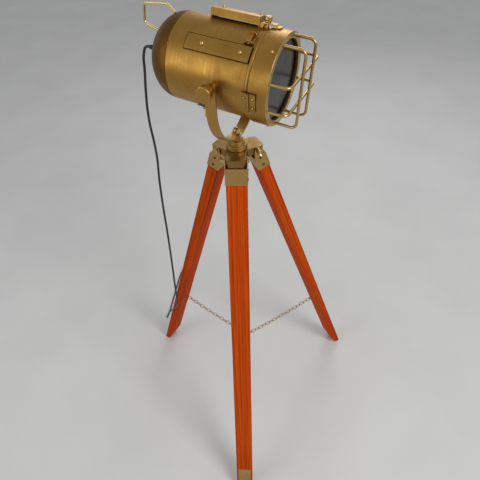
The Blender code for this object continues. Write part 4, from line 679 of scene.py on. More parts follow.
def heads(name, spots, radius, height, body, place, node=(), slotted=True, seat=False, metal=BRIGHT_BRASS):
    """Screw heads at matrices whose Z points out of the surface, on a thin dark ring of painted shade where a
    seat is asked for.
    """
    mesh = bpy.data.meshes.new(name)
    mesh.from_pydata([tuple(s.to_translation()) for s in spots], [], [])
    keep(mesh, "stands", [s.to_3x3() @ Vector((0, 0, 1)) for s in spots])
    # A thin near-black ring round each head's foot: painted shade where the head meets the surface
    if seat:
        ring = grown(f"{name}_seats", mesh.copy(), HEAD_TREE, {"Head": PLAIN_HEAD, "Radius": radius + 0.0009,
                                                               "Height": 0.0003, "Material": PAINTED_SHADE_BRASS})
        set_down(f"{name}_seats", ring, PAINTED_SHADE_BRASS, body, place)
    result = grown(name, mesh, HEAD_TREE, {"Head": SLOTTED_HEAD if slotted else PLAIN_HEAD, "Radius": radius,
                                           "Height": height, "Material": metal})
    return set_down(name, result, metal, body, place, node)


# Camera, light and floor

def set_camera():
    azimuth, pitch, roll = radians(95.4), radians(44.12), radians(-3.39)
    ahead = Vector((cos(azimuth) * cos(pitch), sin(azimuth) * cos(pitch), -sin(pitch)))
    right = Vector((sin(azimuth), -cos(azimuth), 0))
    up = right.cross(ahead)
    right, up = cos(roll) * right + sin(roll) * up, -sin(roll) * right + cos(roll) * up
    camera = shown("camera", bpy.data.cameras.new("camera"))
    camera.data.sensor_width = 36
    camera.data.lens = 33.864
    camera.data.clip_start = 0.05
    turn = Matrix((right, up, -ahead)).transposed().to_4x4()
    camera.matrix_world = at(0.08015, -0.9126 + AXIS_Y, 1.659) @ turn
    bpy.context.scene.camera = camera


def set_studio():
    material, add, shader, place = blank_material("studio_paper", kept_place=False, Roughness=0.9)
    tones = ((0.3, (0.60, 0.60, 0.59)), (0.7, (0.64, 0.64, 0.63)))
    add.feed(shader.inputs["Base Color"], add.ramp(add.noise(place, 3, 3), tones))
    floor_half = 9
    mesh = bpy.data.meshes.new("studio_floor")
    corners = [(x * floor_half, y * floor_half, 0) for x, y in ((-1, -1), (1, -1), (1, 1), (-1, 1))]
    mesh.from_pydata(corners, [], [(0, 1, 2, 3)])
    mesh.materials.append(material)
    shown("studio_floor", mesh)
    for name, spot, aim, size, power in (("key", (1.7, -1.5, 2.7), (0, 0.09, 1.05), 1.1, 46),
                                         ("fill", (-2.2, -1.4, 1.9), (0, 0.09, 0.9), 1.6, 16),
                                         ("back", (0.6, 2.6, 2.4), (0, 0.09, 1.1), 1.4, 18)):
        lamp = bpy.data.lights.new(name, "AREA")
        lamp.size = size
        lamp.energy = power
        direction = Vector(aim) - Vector(spot)
        shown(name, lamp).matrix_world = at(*spot) @ direction.to_track_quat("-Z", "Y").to_matrix().to_4x4()
    world = bpy.data.worlds.new("studio")
    world.use_nodes = True
    sky = world.node_tree.nodes["Background"].inputs
    sky["Color"].default_value = (0.82, 0.83, 0.84, 1)
    sky["Strength"].default_value = 0.55
    bpy.context.scene.world = world
    bpy.context.scene.view_settings.view_transform = "Standard"


set_camera()
set_studio()


# Cord and plug. The route repeats the solids' own, from the stand's axis.

CORD_ROUTE = (
    (-0.1995, 0.0835, 1.2775), (-0.2065, 0.0840, 1.2560), (-0.2090, 0.0830, 1.2290),
    (-0.2145, 0.0800, 1.1850), (-0.2190, 0.0775, 1.1380), (-0.2205, 0.0770, 1.0920),
    (-0.2190, 0.0770, 1.0440), (-0.2195, 0.0765, 0.9910), (-0.2255, 0.0750, 0.9180),
    (-0.2300, 0.0735, 0.8220), (-0.2325, 0.0730, 0.7390), (-0.2360, 0.0720, 0.6540),
    (-0.2405, 0.0700, 0.5590), (-0.2450, 0.0685, 0.4680), (-0.2480, 0.0700, 0.4000),
    (-0.2600, 0.0860, 0.3450), (-0.2810, 0.1120, 0.2980), (-0.3040, 0.1390, 0.2500),
    (-0.3250, 0.1700, 0.1950), (-0.3480, 0.2060, 0.1250), (-0.3680, 0.2430, 0.0600),
    (-0.3758, 0.2790, 0.0200), (-0.3765, 0.3200, 0.0045), (-0.3740, 0.3620, 0.0035),
    (-0.3700, 0.4200, 0.0035), (-0.3660, 0.4800, 0.0035), (-0.3600, 0.5400, 0.0035),
    (-0.3480, 0.5850, 0.0035), (-0.3270, 0.6018, 0.0035), (-0.3070, 0.5880, 0.0035),
    (-0.3020, 0.5500, 0.0035), (-0.3065, 0.5080, 0.0045),
)
CORD_RADIUS, CORD_POINTS = 0.003, 460
GLAND_FLANGE, GLAND_RADIUS, HOLDER_BACK = 0.003, 0.0055, -0.074
POLE = DRUM_BACK - GAP - DOME_DEPTH
RELIEF_ROOT = POLE - 2 * GAP - GLAND_FLANGE
RELIEF_LENGTH, RELIEF_RADIUS = 0.022, 0.0070
RELIEF_END = RELIEF_ROOT - RELIEF_LENGTH
PLUG = STAND @ at(-0.3170, 0.4560, 0.0072) @ spun(radians(-103), "Z")
PLUG_TAIL = 0.014


def make_plug():
    """A flat two-pin plug with a waisted grip, a tapered tail and metal pins."""
    half, half_thickness, shoulder, length = 0.017, 0.0069, 0.007, 0.036
    side = ((0, shoulder - half), (shoulder, -half), (length - 0.0035, -half * 0.85), (length, -half * 0.7))
    outline = eased((*side, *[(x, -y) for x, y in reversed(side)]), 0.003)
    tail_radius, tail_root = 0.0045, 0.0035
    tail = eased(((0, -PLUG_TAIL), (CORD_RADIUS * 1.3, -PLUG_TAIL), (tail_radius, tail_root), (0, tail_root)),
                 0.0008)
    shell = make("plug", prism(outline, -half_thickness, half_thickness), BLACK_PLASTIC, "stand", PLUG,
                 ease=0.0022, steps=4, joins=(turned(tail, 40, "X"),))
    pin_radius, pin_tip, pin_place = 0.002, 0.055, 0.0095
    profile = eased(((0, length), (pin_radius, length), (pin_radius, pin_tip), (0, pin_tip)), 0.0009)
    pins = [moved(turned(profile, 28, "X"), at(0, way * pin_place, 0)) for way in (-1, 1)]
    return shell, make("plug_pins", merged(*pins), BRIGHT_BRASS, "stand", PLUG, node=())


def make_cord(with_pieces):
    """The cord leaves the strain relief and meets the plug's tail straight, and follows its route between."""
    start, straight = (LAMP @ Vector((RELIEF_END - GAP - way, 0, 0)) for way in (0, 2 * CORD_RADIUS))
    tail, lead = (PLUG @ Vector((-PLUG_TAIL - GAP - way, 0, 0)) for way in (0, 2 * CORD_RADIUS))
    path = [start, *through([straight, *[STAND @ Vector(p) for p in CORD_ROUTE], lead], CORD_POINTS), tail]
    curve = bpy.data.curves.new("cord", "CURVE")
    curve.dimensions = "3D"
    curve.bevel_depth = CORD_RADIUS
    curve.bevel_resolution = 5
    curve.use_fill_caps = True
    spline = curve.splines.new("POLY")
    spline.points.add(len(path) - 1)
    for point, position in zip(spline.points, path):
        point.co = (*position, 1)
    spline.use_smooth = True
    curve.materials.append(FLEX_RUBBER)
    flex = shown("cord", curve)
    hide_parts("cord")
    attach(flex, "stand")


make_cord(make_plug())


# Stand

def make_head_casting():
    """Three tongues on a round hub, each with a raised pad on both sides for its bracket."""
    hub, half, pad_half, tip_half, reach, chamfer = 0.030, 0.0230, 0.025, 0.017, 0.060, 0.006
    pad, edge = PIVOT_RADIUS - 0.0065, PIVOT_RADIUS + 0.0065
    side = [(hub * cos(asin(half / hub)), half), (pad, half), (pad, pad_half), (edge, pad_half), (edge, half),
            (reach - chamfer, half), (reach, tip_half)]
    tongue = [(r, -t) for r, t in side] + side[::-1]
    outline = []
    for azimuth in sorted(LEGS.values()):
        turn = radians(azimuth)
        outline += [(r * cos(turn) - t * sin(turn), r * sin(turn) + t * cos(turn)) for r, t in tongue]
    cuts = [disc(POST_PIN_RADIUS + GAP, HEAD_BOTTOM - OVERRUN, HEAD_TOP + OVERRUN, 40)]
    for azimuth in LEGS.values():
        bore = disc(BOLT_RADIUS + GAP, -0.04, 0.04, 32, "Y")
        cuts.append(moved(bore, spun(radians(azimuth), "Z") @ at(PIVOT_RADIUS, 0, PIVOT_HEIGHT)))
    make("head_casting", prism(outline, HEAD_BOTTOM, HEAD_TOP), CAST_BRASS, "stand", STAND, ease=0.0014,
         steps=3, cuts=cuts)


def make_swivel_post():
    boss_radius, collar_radius, neck_radius, post_radius = 0.025, 0.0195, 0.017, 0.0075
    boss = HEAD_TOP + GAP
    collar, neck, post = boss + 0.013, boss + 0.019, boss + 0.021
    shoulder, stud = YOKE_SEAT - GAP, YOKE_SEAT + YOKE_THICKNESS + 0.008
    profile = ((0, HEAD_BOTTOM), (POST_PIN_RADIUS, HEAD_BOTTOM), (POST_PIN_RADIUS, boss), (boss_radius, boss),
               (boss_radius, collar), (collar_radius, collar), (collar_radius, neck), (neck_radius, neck),
               (neck_radius, post), (post_radius, post), (post_radius, shoulder), (STUD_RADIUS, shoulder),
               (STUD_RADIUS, stud), (0, stud))
    make("swivel_post", turned(eased(profile, 0.0011), 72), TURNED_BRASS, "stand", STAND, limit=50)


def make_leg(name, place, number):
    """A leg cut level at its foot, with the inside of its tip sloped. Its shift gives it its own grain."""
    half = LEG_DEPTH / 2
    cut = TIP_CUT - half
    outline = ((-half, -LEG_TOP), (half, -LEG_TOP), (half, -floor_along(half)), (cut, -floor_along(cut)),
               (-half, TIP_LENGTH - floor_along(-half)))
    make(f"leg_{name}", prism(outline, -LEG_WIDTH / 2, LEG_WIDTH / 2, "X"), HONEY_WOOD, f"leg_{name}", place,
         ease=0.0020, steps=3, shift=(0.31 * number, 0.17 * number, 0.9 * number))


def make_bracket(name, place):
    foot, shoulder, ear, cheek = -0.055, -0.016, 0.009, LEG_DEPTH / 2
    crown = [(ear * cos(a), ear * sin(a)) for a in spread(radians(20), radians(160), 24)]
    outline = [(-BRACKET_HALF_DEPTH, foot), (BRACKET_HALF_DEPTH, foot), (BRACKET_HALF_DEPTH, shoulder),
               (cheek, shoulder), *crown, (-cheek, shoulder), (-BRACKET_HALF_DEPTH, shoulder)]
    inner_width, inner_depth, inner_top = LEG_WIDTH / 2 + GAP, LEG_DEPTH / 2 + GAP, 0.014
    cuts = (block((-inner_width, -inner_depth, foot - 0.005), (inner_width, inner_depth, inner_top)),
            disc(BOLT_RADIUS + GAP, -0.035, 0.035, 32, "X"))
    make(f"leg_bracket_{name}", prism(outline, -BRACKET_HALF_WIDTH, BRACKET_HALF_WIDTH, "X"), SHEET_BRASS,
         f"leg_{name}", place, ease=0.0004, cuts=cuts)
    spots = [at(side * BRACKET_HALF_WIDTH, 0, -along) @ spun(side * pi / 2, "Y")
             for side in (-1, 1) for along in (0.022, 0.045)]
    # These screws stand on rings of painted shade
    heads(f"bracket_screws_{name}", spots, 0.0030, 0.0018, f"leg_{name}", place, seat=True, metal=DOME_BRASS)


def make_hinge_bolt(name, place):
    seat, tip = -BRACKET_HALF_WIDTH - GAP, 0.0375
    head = seat - 0.0035
    profile = ((0, head), (NUT_HEAD_RADIUS, head), (NUT_HEAD_RADIUS, seat), (BOLT_RADIUS, seat),
               (BOLT_RADIUS, tip), (0, tip))
    slot = block((head - 0.001, -0.0006, -0.007), (head + 0.0012, 0.0006, 0.007))
    make(f"hinge_bolt_{name}", turned(eased(profile, 0.0009), 40, "X"), BRIGHT_BRASS, f"leg_{name}", place,
         cuts=(slot,))


def make_wing_nut(name, place):
    """A tapered nut with two wings, their outlines given as shares of its length and of the wings' reach."""
    seat, bore = BRACKET_HALF_WIDTH + GAP, BOLT_RADIUS + GAP
    top_radius, length, reach, half = 0.0046, 0.008, 0.015, 0.00125
    profile = ((bore, seat), (NUT_HEAD_RADIUS, seat), (top_radius, seat + length), (bore, seat + length))
    wings = []
    for side in (-1, 1):
        outline = [(seat + length * a, side * reach * b) for a, b in
                   ((0.10, 0.30), (0.60, 0.30), (1.25, 0.80), (1.10, 1.00), (0.60, 0.95), (0.10, 0.60))]
        wings.append(prism(eased(outline, 0.0028, 4), -half, half, "Y"))
    make(f"wing_nut_{name}", turned(eased(profile, 0.0007), 40, "X"), BRIGHT_BRASS, f"wing_nut_{name}", place,
         ease=0.0005, joins=wings)


def make_toe_plate(name, place):
    inner, half_width, height = LEG_DEPTH / 2 + GAP, 0.020, 0.1071
    outer_floor, lift = floor_along(TOE_OUTSIDE), TOE_LIFT / cos(SPLAY)
    outline = ((inner, height - outer_floor), (TOE_OUTSIDE, height - outer_floor),
               (TOE_OUTSIDE, lift - outer_floor), (inner, lift - floor_along(inner)))
    make(f"toe_plate_{name}", prism(outline, -half_width, half_width, "X"), SHEET_BRASS, f"leg_{name}", place,
         ease=0.0005)
    spots = [at(0, TOE_OUTSIDE, rise - outer_floor) @ spun(-pi / 2, "X") for rise in (0.094, 0.032)]
    heads(f"toe_rivets_{name}", spots, 0.0033, 0.0018, f"leg_{name}", place)


def make_chain_eye(name, place):
    face = -LEG_DEPTH / 2 - GAP
    middle = face - EYE_STEM - EYE_RADIUS
    path = [(0, face, -EYE_PLACE)]
    for angle in spread(0, 1.8 * pi, 40):
        path.append((0, middle + EYE_RADIUS * cos(angle), -EYE_PLACE + EYE_RADIUS * sin(angle)))
    wires(f"chain_eye_{name}", [path], EYE_WIRE, 0.0001, CHAIN_BRASS, f"leg_{name}", place, sides=14, steps=1)


def make_chain(name, azimuth):
    """A strand from the leg's eye to the centre ring, each link turned a quarter from the one before."""
    place = STAND @ spun(radians(azimuth), "Z") @ at(EYE_REACH, 0, EYE_HEIGHT)
    link_length, link_width, weld, slack, wire, sag = 0.018, 0.011, 0.0006, 0.0020, 0.0011, 0.0065
    down, across = Vector((0, 0, 1)), Vector((0, 1, 0))
    end = Vector((CHAIN_RING_RADIUS - CHAIN_RING_WIRE - weld / 2 - slack - EYE_REACH, 0, -CHAIN_RING_DROP))
    start = end.normalized() * (EYE_RADIUS - EYE_WIRE - weld / 2 - slack)
    length = (end - start).length
    count = 2 * round(length / (link_length - 4 * wire) / 2)
    half_width = link_width / 2 - wire
    half_run = length / count / 2 + wire - weld / 2 - half_width
    middles, runs, sides = [], [], []
    for number in range(count):
        share = (number + 0.5) / count
        middles.append(start.lerp(end, share) - down * (4 * sag * share * (1 - share)))
        runs.append(((end - start) / length - down * (4 * sag / length * (1 - 2 * share))).normalized())
        sides.append(across if number % 2 == 0 else runs[-1].cross(across))
    mesh = bpy.data.meshes.new("links")
    mesh.from_pydata(middles, [], [])
    keep(mesh, "run", runs)
    keep(mesh, "side", sides)
    strand = f"chain_strand_{name}"
    result = grown(strand, mesh, CHAIN_TREE, {"Half Run": half_run, "Half Width": half_width,
                                              "Wire Radius": wire, "Material": CHAIN_BRASS})
    set_down(strand, result, CHAIN_BRASS, f"chain_{name}", place, strand)
    if name == "front":
        ring = [(CHAIN_RING_RADIUS * cos(a) - EYE_REACH, CHAIN_RING_RADIUS * sin(a), -CHAIN_RING_DROP)
                for a in spread(0, 2 * pi, 48)[:-1]]
        wires("chain_ring", [ring], CHAIN_RING_WIRE, 0.0001, CHAIN_BRASS, "chain_front", place, closed=True,
              sides=14, steps=1)


# Yoke and knobs

def make_yoke():
    """A flat bar with round ends, run down one side, round an oval bend and up the other."""
    half, drop, flat = YOKE_WIDTH / 2, YOKE_DEPTH - YOKE_STRAIGHT, 0.0115
    arm = [(-YOKE_HALF_SPAN, half * sin(a), -1, 0, half * cos(a))
           for a in (pi / 2 * (1 - k / 16.5) for k in range(1, 17))]
    arm.append((-YOKE_HALF_SPAN, -YOKE_STRAIGHT, -1, 0, half))
    for angle in spread(0, pi / 2, 36)[1:32]:
        normal = Vector((-drop * cos(angle), -YOKE_HALF_SPAN * sin(angle))).normalized()
        arm.append((-YOKE_HALF_SPAN * cos(angle), -YOKE_STRAIGHT - drop * sin(angle), *normal, half))
    arm.append((-flat, -YOKE_DEPTH, 0, -1, half))
    rows = []
    for y, z, across, up, width in arm + [(-y, z, -a, b, w) for y, z, a, b, w in reversed(arm)]:
        inner = (y - across * YOKE_THICKNESS / 2, z - up * YOKE_THICKNESS / 2)
        outer = (y + across * YOKE_THICKNESS / 2, z + up * YOKE_THICKNESS / 2)
        rows.append([(x, *p) for x, p in ((-width, inner), (width, inner), (width, outer), (-width, outer))])
    cuts = (disc(TRUNNION_RADIUS + GAP, -0.11, 0.11, 40, "Y"),
            disc(STUD_RADIUS + GAP, -YOKE_DEPTH - OVERRUN, -YOKE_DEPTH + OVERRUN, 40))
    make("yoke", skinned(rows), BAR_BRASS, "yoke", YOKE, ease=0.0007, cuts=cuts, limit=40)


def make_yoke_nut():
    """A six-sided cap nut with a round crown."""
    radius, height, crown = 0.0095, 0.008, 0.007
    seat = YOKE_THICKNESS / 2 - YOKE_DEPTH + GAP
    bore, top, crown_radius = (STUD_RADIUS + GAP) / cos(pi / 6), seat + height, radius * 0.84
    dome = [(crown_radius * cos(a), top + crown * sin(a)) for a in spread(0, pi / 2, 10)[:-1]]
    profile = [(bore, top - 0.001), (crown_radius, top - 0.001), *dome, (0, top + crown), (0, top + GAP),
               (bore, top + GAP)]
    make("yoke_nut", turned(((bore, seat), (radius, seat), (radius, top), (bore, top)), 6), BRIGHT_BRASS,
         "yoke_nut", YOKE, ease=0.0006, joins=(turned(profile, 40),))


def make_trunnion_and_knob(name, turn):
    place = LAMP @ spun(turn, "Z")
    face, rim, head_radius, head_height, sleeve = 0.131, 0.0015, 0.007, 0.006, 0.0085
    inside, bolt = DRUM_RADIUS - DRUM_SHEET, TRUNNION_RADIUS
    head, start = inside - GAP - head_height, DRUM_RADIUS + GAP
    end = YOKE_HALF_SPAN - YOKE_THICKNESS / 2 - GAP
    neck, tip = head + 0.004, face - rim - 0.004
    profile = ((0, head), (head_radius, head), (head_radius, neck), (bolt, neck), (bolt, start),
               (sleeve, start), (sleeve, end), (bolt, end), (bolt, tip), (0, tip))
    make(f"tilt_trunnion_{name}", turned(eased(profile, 0.0006), 48, "Y"), BRIGHT_BRASS, "lamp", place)
    hub, hub_radius, hub_length, flare = YOKE_HALF_SPAN + YOKE_THICKNESS / 2 + GAP, 0.0095, 0.0130, 0.0145
    bore, depth, radius = bolt + GAP, tip + GAP, 0.0165
    profile = ((bore, hub), (hub_radius, hub), (hub_radius, hub + hub_length), (radius, hub + flare),
               (radius, face - rim), (radius - rim, face), (0, face), (0, depth), (bore, depth))
    knob = f"tilt_knob_{name}"
    make(knob, turned(eased(profile, 0.0005, 2), 72, "Y"), BAR_BRASS, knob, place)


# Lamp case

def make_drum_shell():
    """The drum with its rolled bead, two slots under each cover, and holes for what is fastened to it."""
    inside, bead, crest = DRUM_RADIUS - DRUM_SHEET, DRUM_FRONT - 0.008, DRUM_RADIUS + BEAD_RISE
    profile = ((inside, DRUM_BACK), (DRUM_RADIUS, DRUM_BACK), (DRUM_RADIUS, bead),
               (DRUM_RADIUS + 0.0022, bead + 0.0012), (crest, bead + 0.0030), (crest, DRUM_FRONT - 0.0022),
               (DRUM_RADIUS + 0.0012, DRUM_FRONT), (inside, DRUM_FRONT))
    cuts = [disc(TRUNNION_RADIUS + GAP, -0.095, 0.095, 40, "Y")]
    half_run, end_radius, slot_middle, slot_step = 0.010, 0.005, 0.004, 0.025
    for angle in COVERS.values():
        for step in (-1, 1):
            slot = [(side * (half_run + end_radius * cos(a)), side * end_radius * sin(a))
                    for side in (1, -1) for a in spread(-pi / 2, pi / 2, 10)]
            cuts.append(moved(prism(slot, -OVERRUN, OVERRUN),
                              on_drum(slot_middle + step * slot_step, angle, DRUM_RADIUS)))
    cuts.append(moved(disc(SWITCH_BUSH_RADIUS + GAP, -OVERRUN, OVERRUN, 40),
                      on_drum(SWITCH_PLACE, SWITCH_ANGLE, DRUM_RADIUS)))
    cuts.append(moved(disc(CLASP_SCREW_RADIUS + GAP, -OVERRUN, OVERRUN, 32),
                      on_drum(CLASP_PLACE, CLASP_ANGLE, DRUM_RADIUS)))
    make("drum_shell", turned(eased(profile, 0.0007), 2 * ROUND, "X"), DRUM_BRASS, "lamp", LAMP, cuts=cuts,
         limit=40)


def make_rear_dome():
    """A spun oval dome with a hole at its pole and a skirt that slides into the drum."""
    def shell(radius, depth):
        return [(radius * sin(a), DRUM_BACK - GAP - depth * cos(a))
                for a in spread(asin((GLAND_RADIUS + GAP) / radius), pi / 2, 40)]

    inside, skirt = DRUM_RADIUS - DRUM_SHEET - GAP, DRUM_BACK + 0.010
    profile = [*shell(DRUM_RADIUS, DOME_DEPTH), (inside, DRUM_BACK - GAP), (inside, skirt),
               (inside - DRUM_SHEET, skirt), *reversed(shell(inside - DRUM_SHEET, DOME_DEPTH - DRUM_SHEET))]
    make("rear_dome", turned(eased(profile, 0.0007), 2 * ROUND, "X"), DOME_BRASS, "lamp", LAMP, limit=50)


def make_rear_handle():
    """A bent wire whose two feet stand on the dome, each lifted a little along the dome's outward line."""
    feet = []
    for angle, lift in ((radians(70.6), 0.00110), (radians(26.6), -0.00010)):
        outward = Vector((-cos(angle) / DOME_DEPTH, sin(angle) / DRUM_RADIUS)).normalized()
        feet.append((DRUM_BACK - GAP - DOME_DEPTH * cos(angle) + lift * outward.x,
                     DRUM_RADIUS * sin(angle) + lift * outward.y))
    path = [(x, 0, z) for x, z in (feet[0], (-0.150, 0.098), (-0.2045, 0.0905), (-0.2085, 0.0505), feet[1])]
    wires("rear_handle", [path], 0.0028, 0.009, WIRE_BRASS, "lamp", LAMP)


def make_vent_cover(name):
    """A curved plate on feet at its ends and under its screws, with painted shade as a dark line along its
    edges.
    """
    angle, low = COVERS[name], DRUM_RADIUS + GAP
    under, top, foot, line = low + 0.0016, low + 0.0028, 0.004, 0.0010
    back, front = -0.072, 0.065
    feet = [(back, back + foot), *[(x - foot, x + foot) for x in COVER_SCREWS], (front - foot, front)]
    outline = []
    for start, end in feet:
        outline += [(start, under), (start, low), (end, low), (end, under)]
    outline = outline[1:-1] + [(front, top), (front - line, top), (back + line, top), (back, top)]
    rim = 0.0015 / top
    cover = make(f"vent_cover_{name}", sector(outline, angle - COVER_HALF, angle + COVER_HALF, 24, rim),
                 DRUM_BRASS, "lamp", LAMP, ease=0.0003, steps=1)
    side, ends = COVER_HALF - rim, (back + line - 0.0001, front - line + 0.0001)
    # Painted shade: a narrow near-black band round the plate's top, over its long edges and its ends
    paint(cover, PAINTED_SHADE_BRASS, LAMP, lambda middle, normal:
          abs(atan2(-middle.y, middle.z) - angle) > side or not ends[0] < middle.x < ends[1])
    spots = [on_drum(x, angle, top + GAP) for x in COVER_SCREWS]
    nodes = ("cover_nut_1", "cover_nut_2") if name == "near" else ()
    heads(f"cover_nuts_{name}", spots, *COVER_NUT, "lamp", LAMP, nodes, slotted=False)


def make_vent_hood():
    """The raised top cover: a box open below, with side skirts that end short of the drum."""
    angle, low, top = COVERS["top"], DRUM_RADIUS + GAP, DRUM_RADIUS + 0.019
    sheet, back, front, skirt_depth = 0.0012, -0.055, 0.050, 0.0145
    start, end, inset, width = angle - COVER_HALF, angle + COVER_HALF, sheet / 4, sheet / DRUM_RADIUS
    outline = ((back, low), (back + 2 * sheet, low), (back + 2 * sheet, top - sheet),
               (front - 2 * sheet, top - sheet), (front - 2 * sheet, low), (front, low), (front, top),
               (back, top))
    skirt = ((back + inset, top - skirt_depth), (front - inset, top - skirt_depth),
             (front - inset, top - inset), (back + inset, top - inset))
    joins = [sector(skirt, edge + way * width / 4, edge + way * width, 1)
             for edge, way in ((start, 1), (end, -1))]
    make("vent_cover_top", sector(outline, start, end, 24), DRUM_BRASS, "lamp", LAMP, ease=0.0004,
         joins=joins)
    spots = [on_drum(x, angle, top) for x in COVER_SCREWS]
    heads("hood_nuts", spots, *COVER_NUT, "lamp", LAMP, slotted=False)


def make_hinge_leaf(name, edge, spans, foot, body):
    """A leaf from its outer edge to the pin, with a knuckle over each span of the pin."""
    half, knuckle, pin, inset = HINGE_HALF, 0.0026, HINGE_PIN_RADIUS, 0.0002
    low = RING_RADIUS + GAP * 1.5 - HINGE_PIN_HEIGHT
    high = low + 0.0017
    sign = 1 if edge > HINGE_PIN_PLACE else -1
    edge -= HINGE_PIN_PLACE
    near = sign * (knuckle + GAP)
    left, right = sorted((edge, near))
    joins = []
    if foot:
        sole, heel = DRUM_RADIUS + BEAD_RISE + GAP - HINGE_PIN_HEIGHT, RING_BACK - 2 * GAP - HINGE_PIN_PLACE
        joins.append(block((edge + inset, -half + inset, sole), (heel, half - inset, (low + high) / 2)))
    for start, end in spans:
        tab = sorted((near * 2, 0))
        joins.append(block((tab[0], start + inset, low + inset), (tab[1], end - inset, high - inset)))
        joins.append(disc(knuckle, start, end, 36, "Y"))
    leaf = make(name, block((left, -half, low), (right, half, high)), DRUM_BRASS, body, LAMP_HINGE,
                ease=0.00025, joins=joins, cuts=(disc(pin + GAP, -0.025, 0.025, 28, "Y"),))
    # Painted shade: the faces that don't face up or down, on the leaf's edges and the knuckles' sides, are
    # near-black
    paint(leaf, PAINTED_SHADE_BRASS, LAMP_HINGE, lambda middle, normal: abs(normal.z) < 0.3)
    spots = [at((edge + near) / 2, side * 0.010, high) for side in (-1, 1)]
    # The leaf's screws stand on rings of painted shade
    heads(f"{name}_screws", spots, 0.0023, 0.0012, body, LAMP_HINGE, seat=True)


def make_hinge():
    half, middle, pin = HINGE_HALF, 0.007, HINGE_PIN_RADIUS
    gap = middle + GAP
    make_hinge_leaf("hinge_leaf_drum", 0.0635, ((-half, -gap), (gap, half)), True, "lamp")
    make_hinge_leaf("hinge_leaf_ring", 0.093, ((-middle, middle),), False, "door")
    make("hinge_pin", disc(pin, -half - GAP, half + GAP, 28, "Y"), BRIGHT_BRASS, "lamp", LAMP_HINGE,
         ease=0.0003)


def make_door():
    """The front ring with its bright rim, the glass in its rubber, the wire guard and the ring's screws."""
    sheet, lip, lip_radius, bright = 0.0018, 0.0042, 0.0795, 0.0012
    profile = ((RING_RADIUS - sheet, RING_BACK), (RING_RADIUS, RING_BACK), (RING_RADIUS, RING_FRONT),
               (lip_radius, RING_FRONT), (lip_radius, RING_FRONT - lip),
               (RING_RADIUS - sheet, RING_FRONT - lip))
    ring = make("door_ring", turned(eased(profile, 0.0008), 2 * ROUND, "X"), DRUM_BRASS, "door", LAMP,
                limit=50)
    paint(ring, BRIGHT_BRASS, LAMP, lambda middle, normal: middle.x > RING_FRONT - bright)
    seal, thickness, groove_depth, glass = 0.0785, 0.0022, 0.0025, 0.004
    outer, front = RING_RADIUS - sheet - GAP, RING_FRONT - lip - GAP
    pane_front = front - thickness
    pane_back = pane_front - glass - 2 * GAP
    rear, groove = pane_back - thickness / 2, outer - groove_depth
    profile = ((seal, rear), (outer, rear), (outer, front), (seal, front), (seal, pane_front),
               (groove, pane_front), (groove, pane_back), (seal, pane_back))
    make("glass_gasket", turned(eased(profile, 0.0004), 2 * ROUND, "X"), BLACK_RUBBER, "door", LAMP)
    pane = ((0, pane_back + GAP), (groove - GAP, pane_back + GAP), (groove - GAP, pane_front - GAP),
            (0, pane_front - GAP))
    make("door_glass", turned(eased(pane, 0.0005), 2 * ROUND, "X"), SMOKED_GLASS, "door", LAMP)
    foot, face, span, wire, weld = RING_FRONT + GAP, 0.160, 0.0805, 0.0030, 0.0006
    behind = face - 2 * wire + weld
    outer_wire, inner_wire = ([(foot, -span), (x, -span), (x, span), (foot, span)] for x in (face, behind))
    paths = []
    for offset in (-0.028, 0.028):
        paths.append([(x, offset, across) for x, across in outer_wire])
        paths.append([(x, across, offset) for x, across in inner_wire])
    wires("guard_wires", paths, wire, 0.012, GUARD_BRASS, "door", LAMP)
    spots = [on_drum(0.103, radians(a), RING_RADIUS + GAP) for a in (35, 155, 275)]
    heads("ring_screws", spots, 0.0034, 0.0028, "door", LAMP,
          ("ring_screw_1", "ring_screw_2", "ring_screw_3"))


# Clasp, catch lug and switch

def make_clasp():
    """A bent strap from the drum to over the ring, and the thumb screw that stands in its crest."""
    heel, crest, toe, sheet = DRUM_RADIUS + GAP, DRUM_RADIUS + 0.0105, RING_RADIUS + 0.0004, 0.0025
    back, foot, bend, end, half = 0.0515, 0.0055, 0.086, 0.0935, 0.008
    outline = ((back, heel), (back + foot, heel), (back + foot + sheet, crest - sheet),
               (bend - 2 * sheet, crest - sheet), (bend, toe), (end, toe), (end, toe + sheet),
               (bend + sheet / 2, toe + sheet), (bend - 1.5 * sheet, crest), (back + sheet, crest),
               (back, crest - sheet))
    place = LAMP @ on_drum(0, CLASP_ANGLE, 0)
    bore = moved(disc(CLASP_SCREW_RADIUS + GAP, DRUM_RADIUS, crest + OVERRUN, 32), at(CLASP_PLACE))
    make("clasp_strap", prism(eased(outline, 0.0012), -half, half, "Y"), BAR_BRASS, "lamp", place,
         ease=0.0005, cuts=(bore,))
    knob, tip, height, radius, rim = crest + GAP, DRUM_RADIUS - DRUM_SHEET - 0.004, 0.011, 0.0075, 0.0015
    neck = radius * 0.80
    profile = ((0, tip), (CLASP_SCREW_RADIUS, tip), (CLASP_SCREW_RADIUS, knob), (neck, knob),
               (neck, knob + 0.0030), (radius, knob + 0.0040), (radius, knob + height - rim),
               (radius - rim, knob + height), (0, knob + height))
    make("clasp_screw", turned(eased(profile, 0.0006), 48), BRIGHT_BRASS, "clasp_screw",
         LAMP @ on_drum(CLASP_PLACE, CLASP_ANGLE, 0))


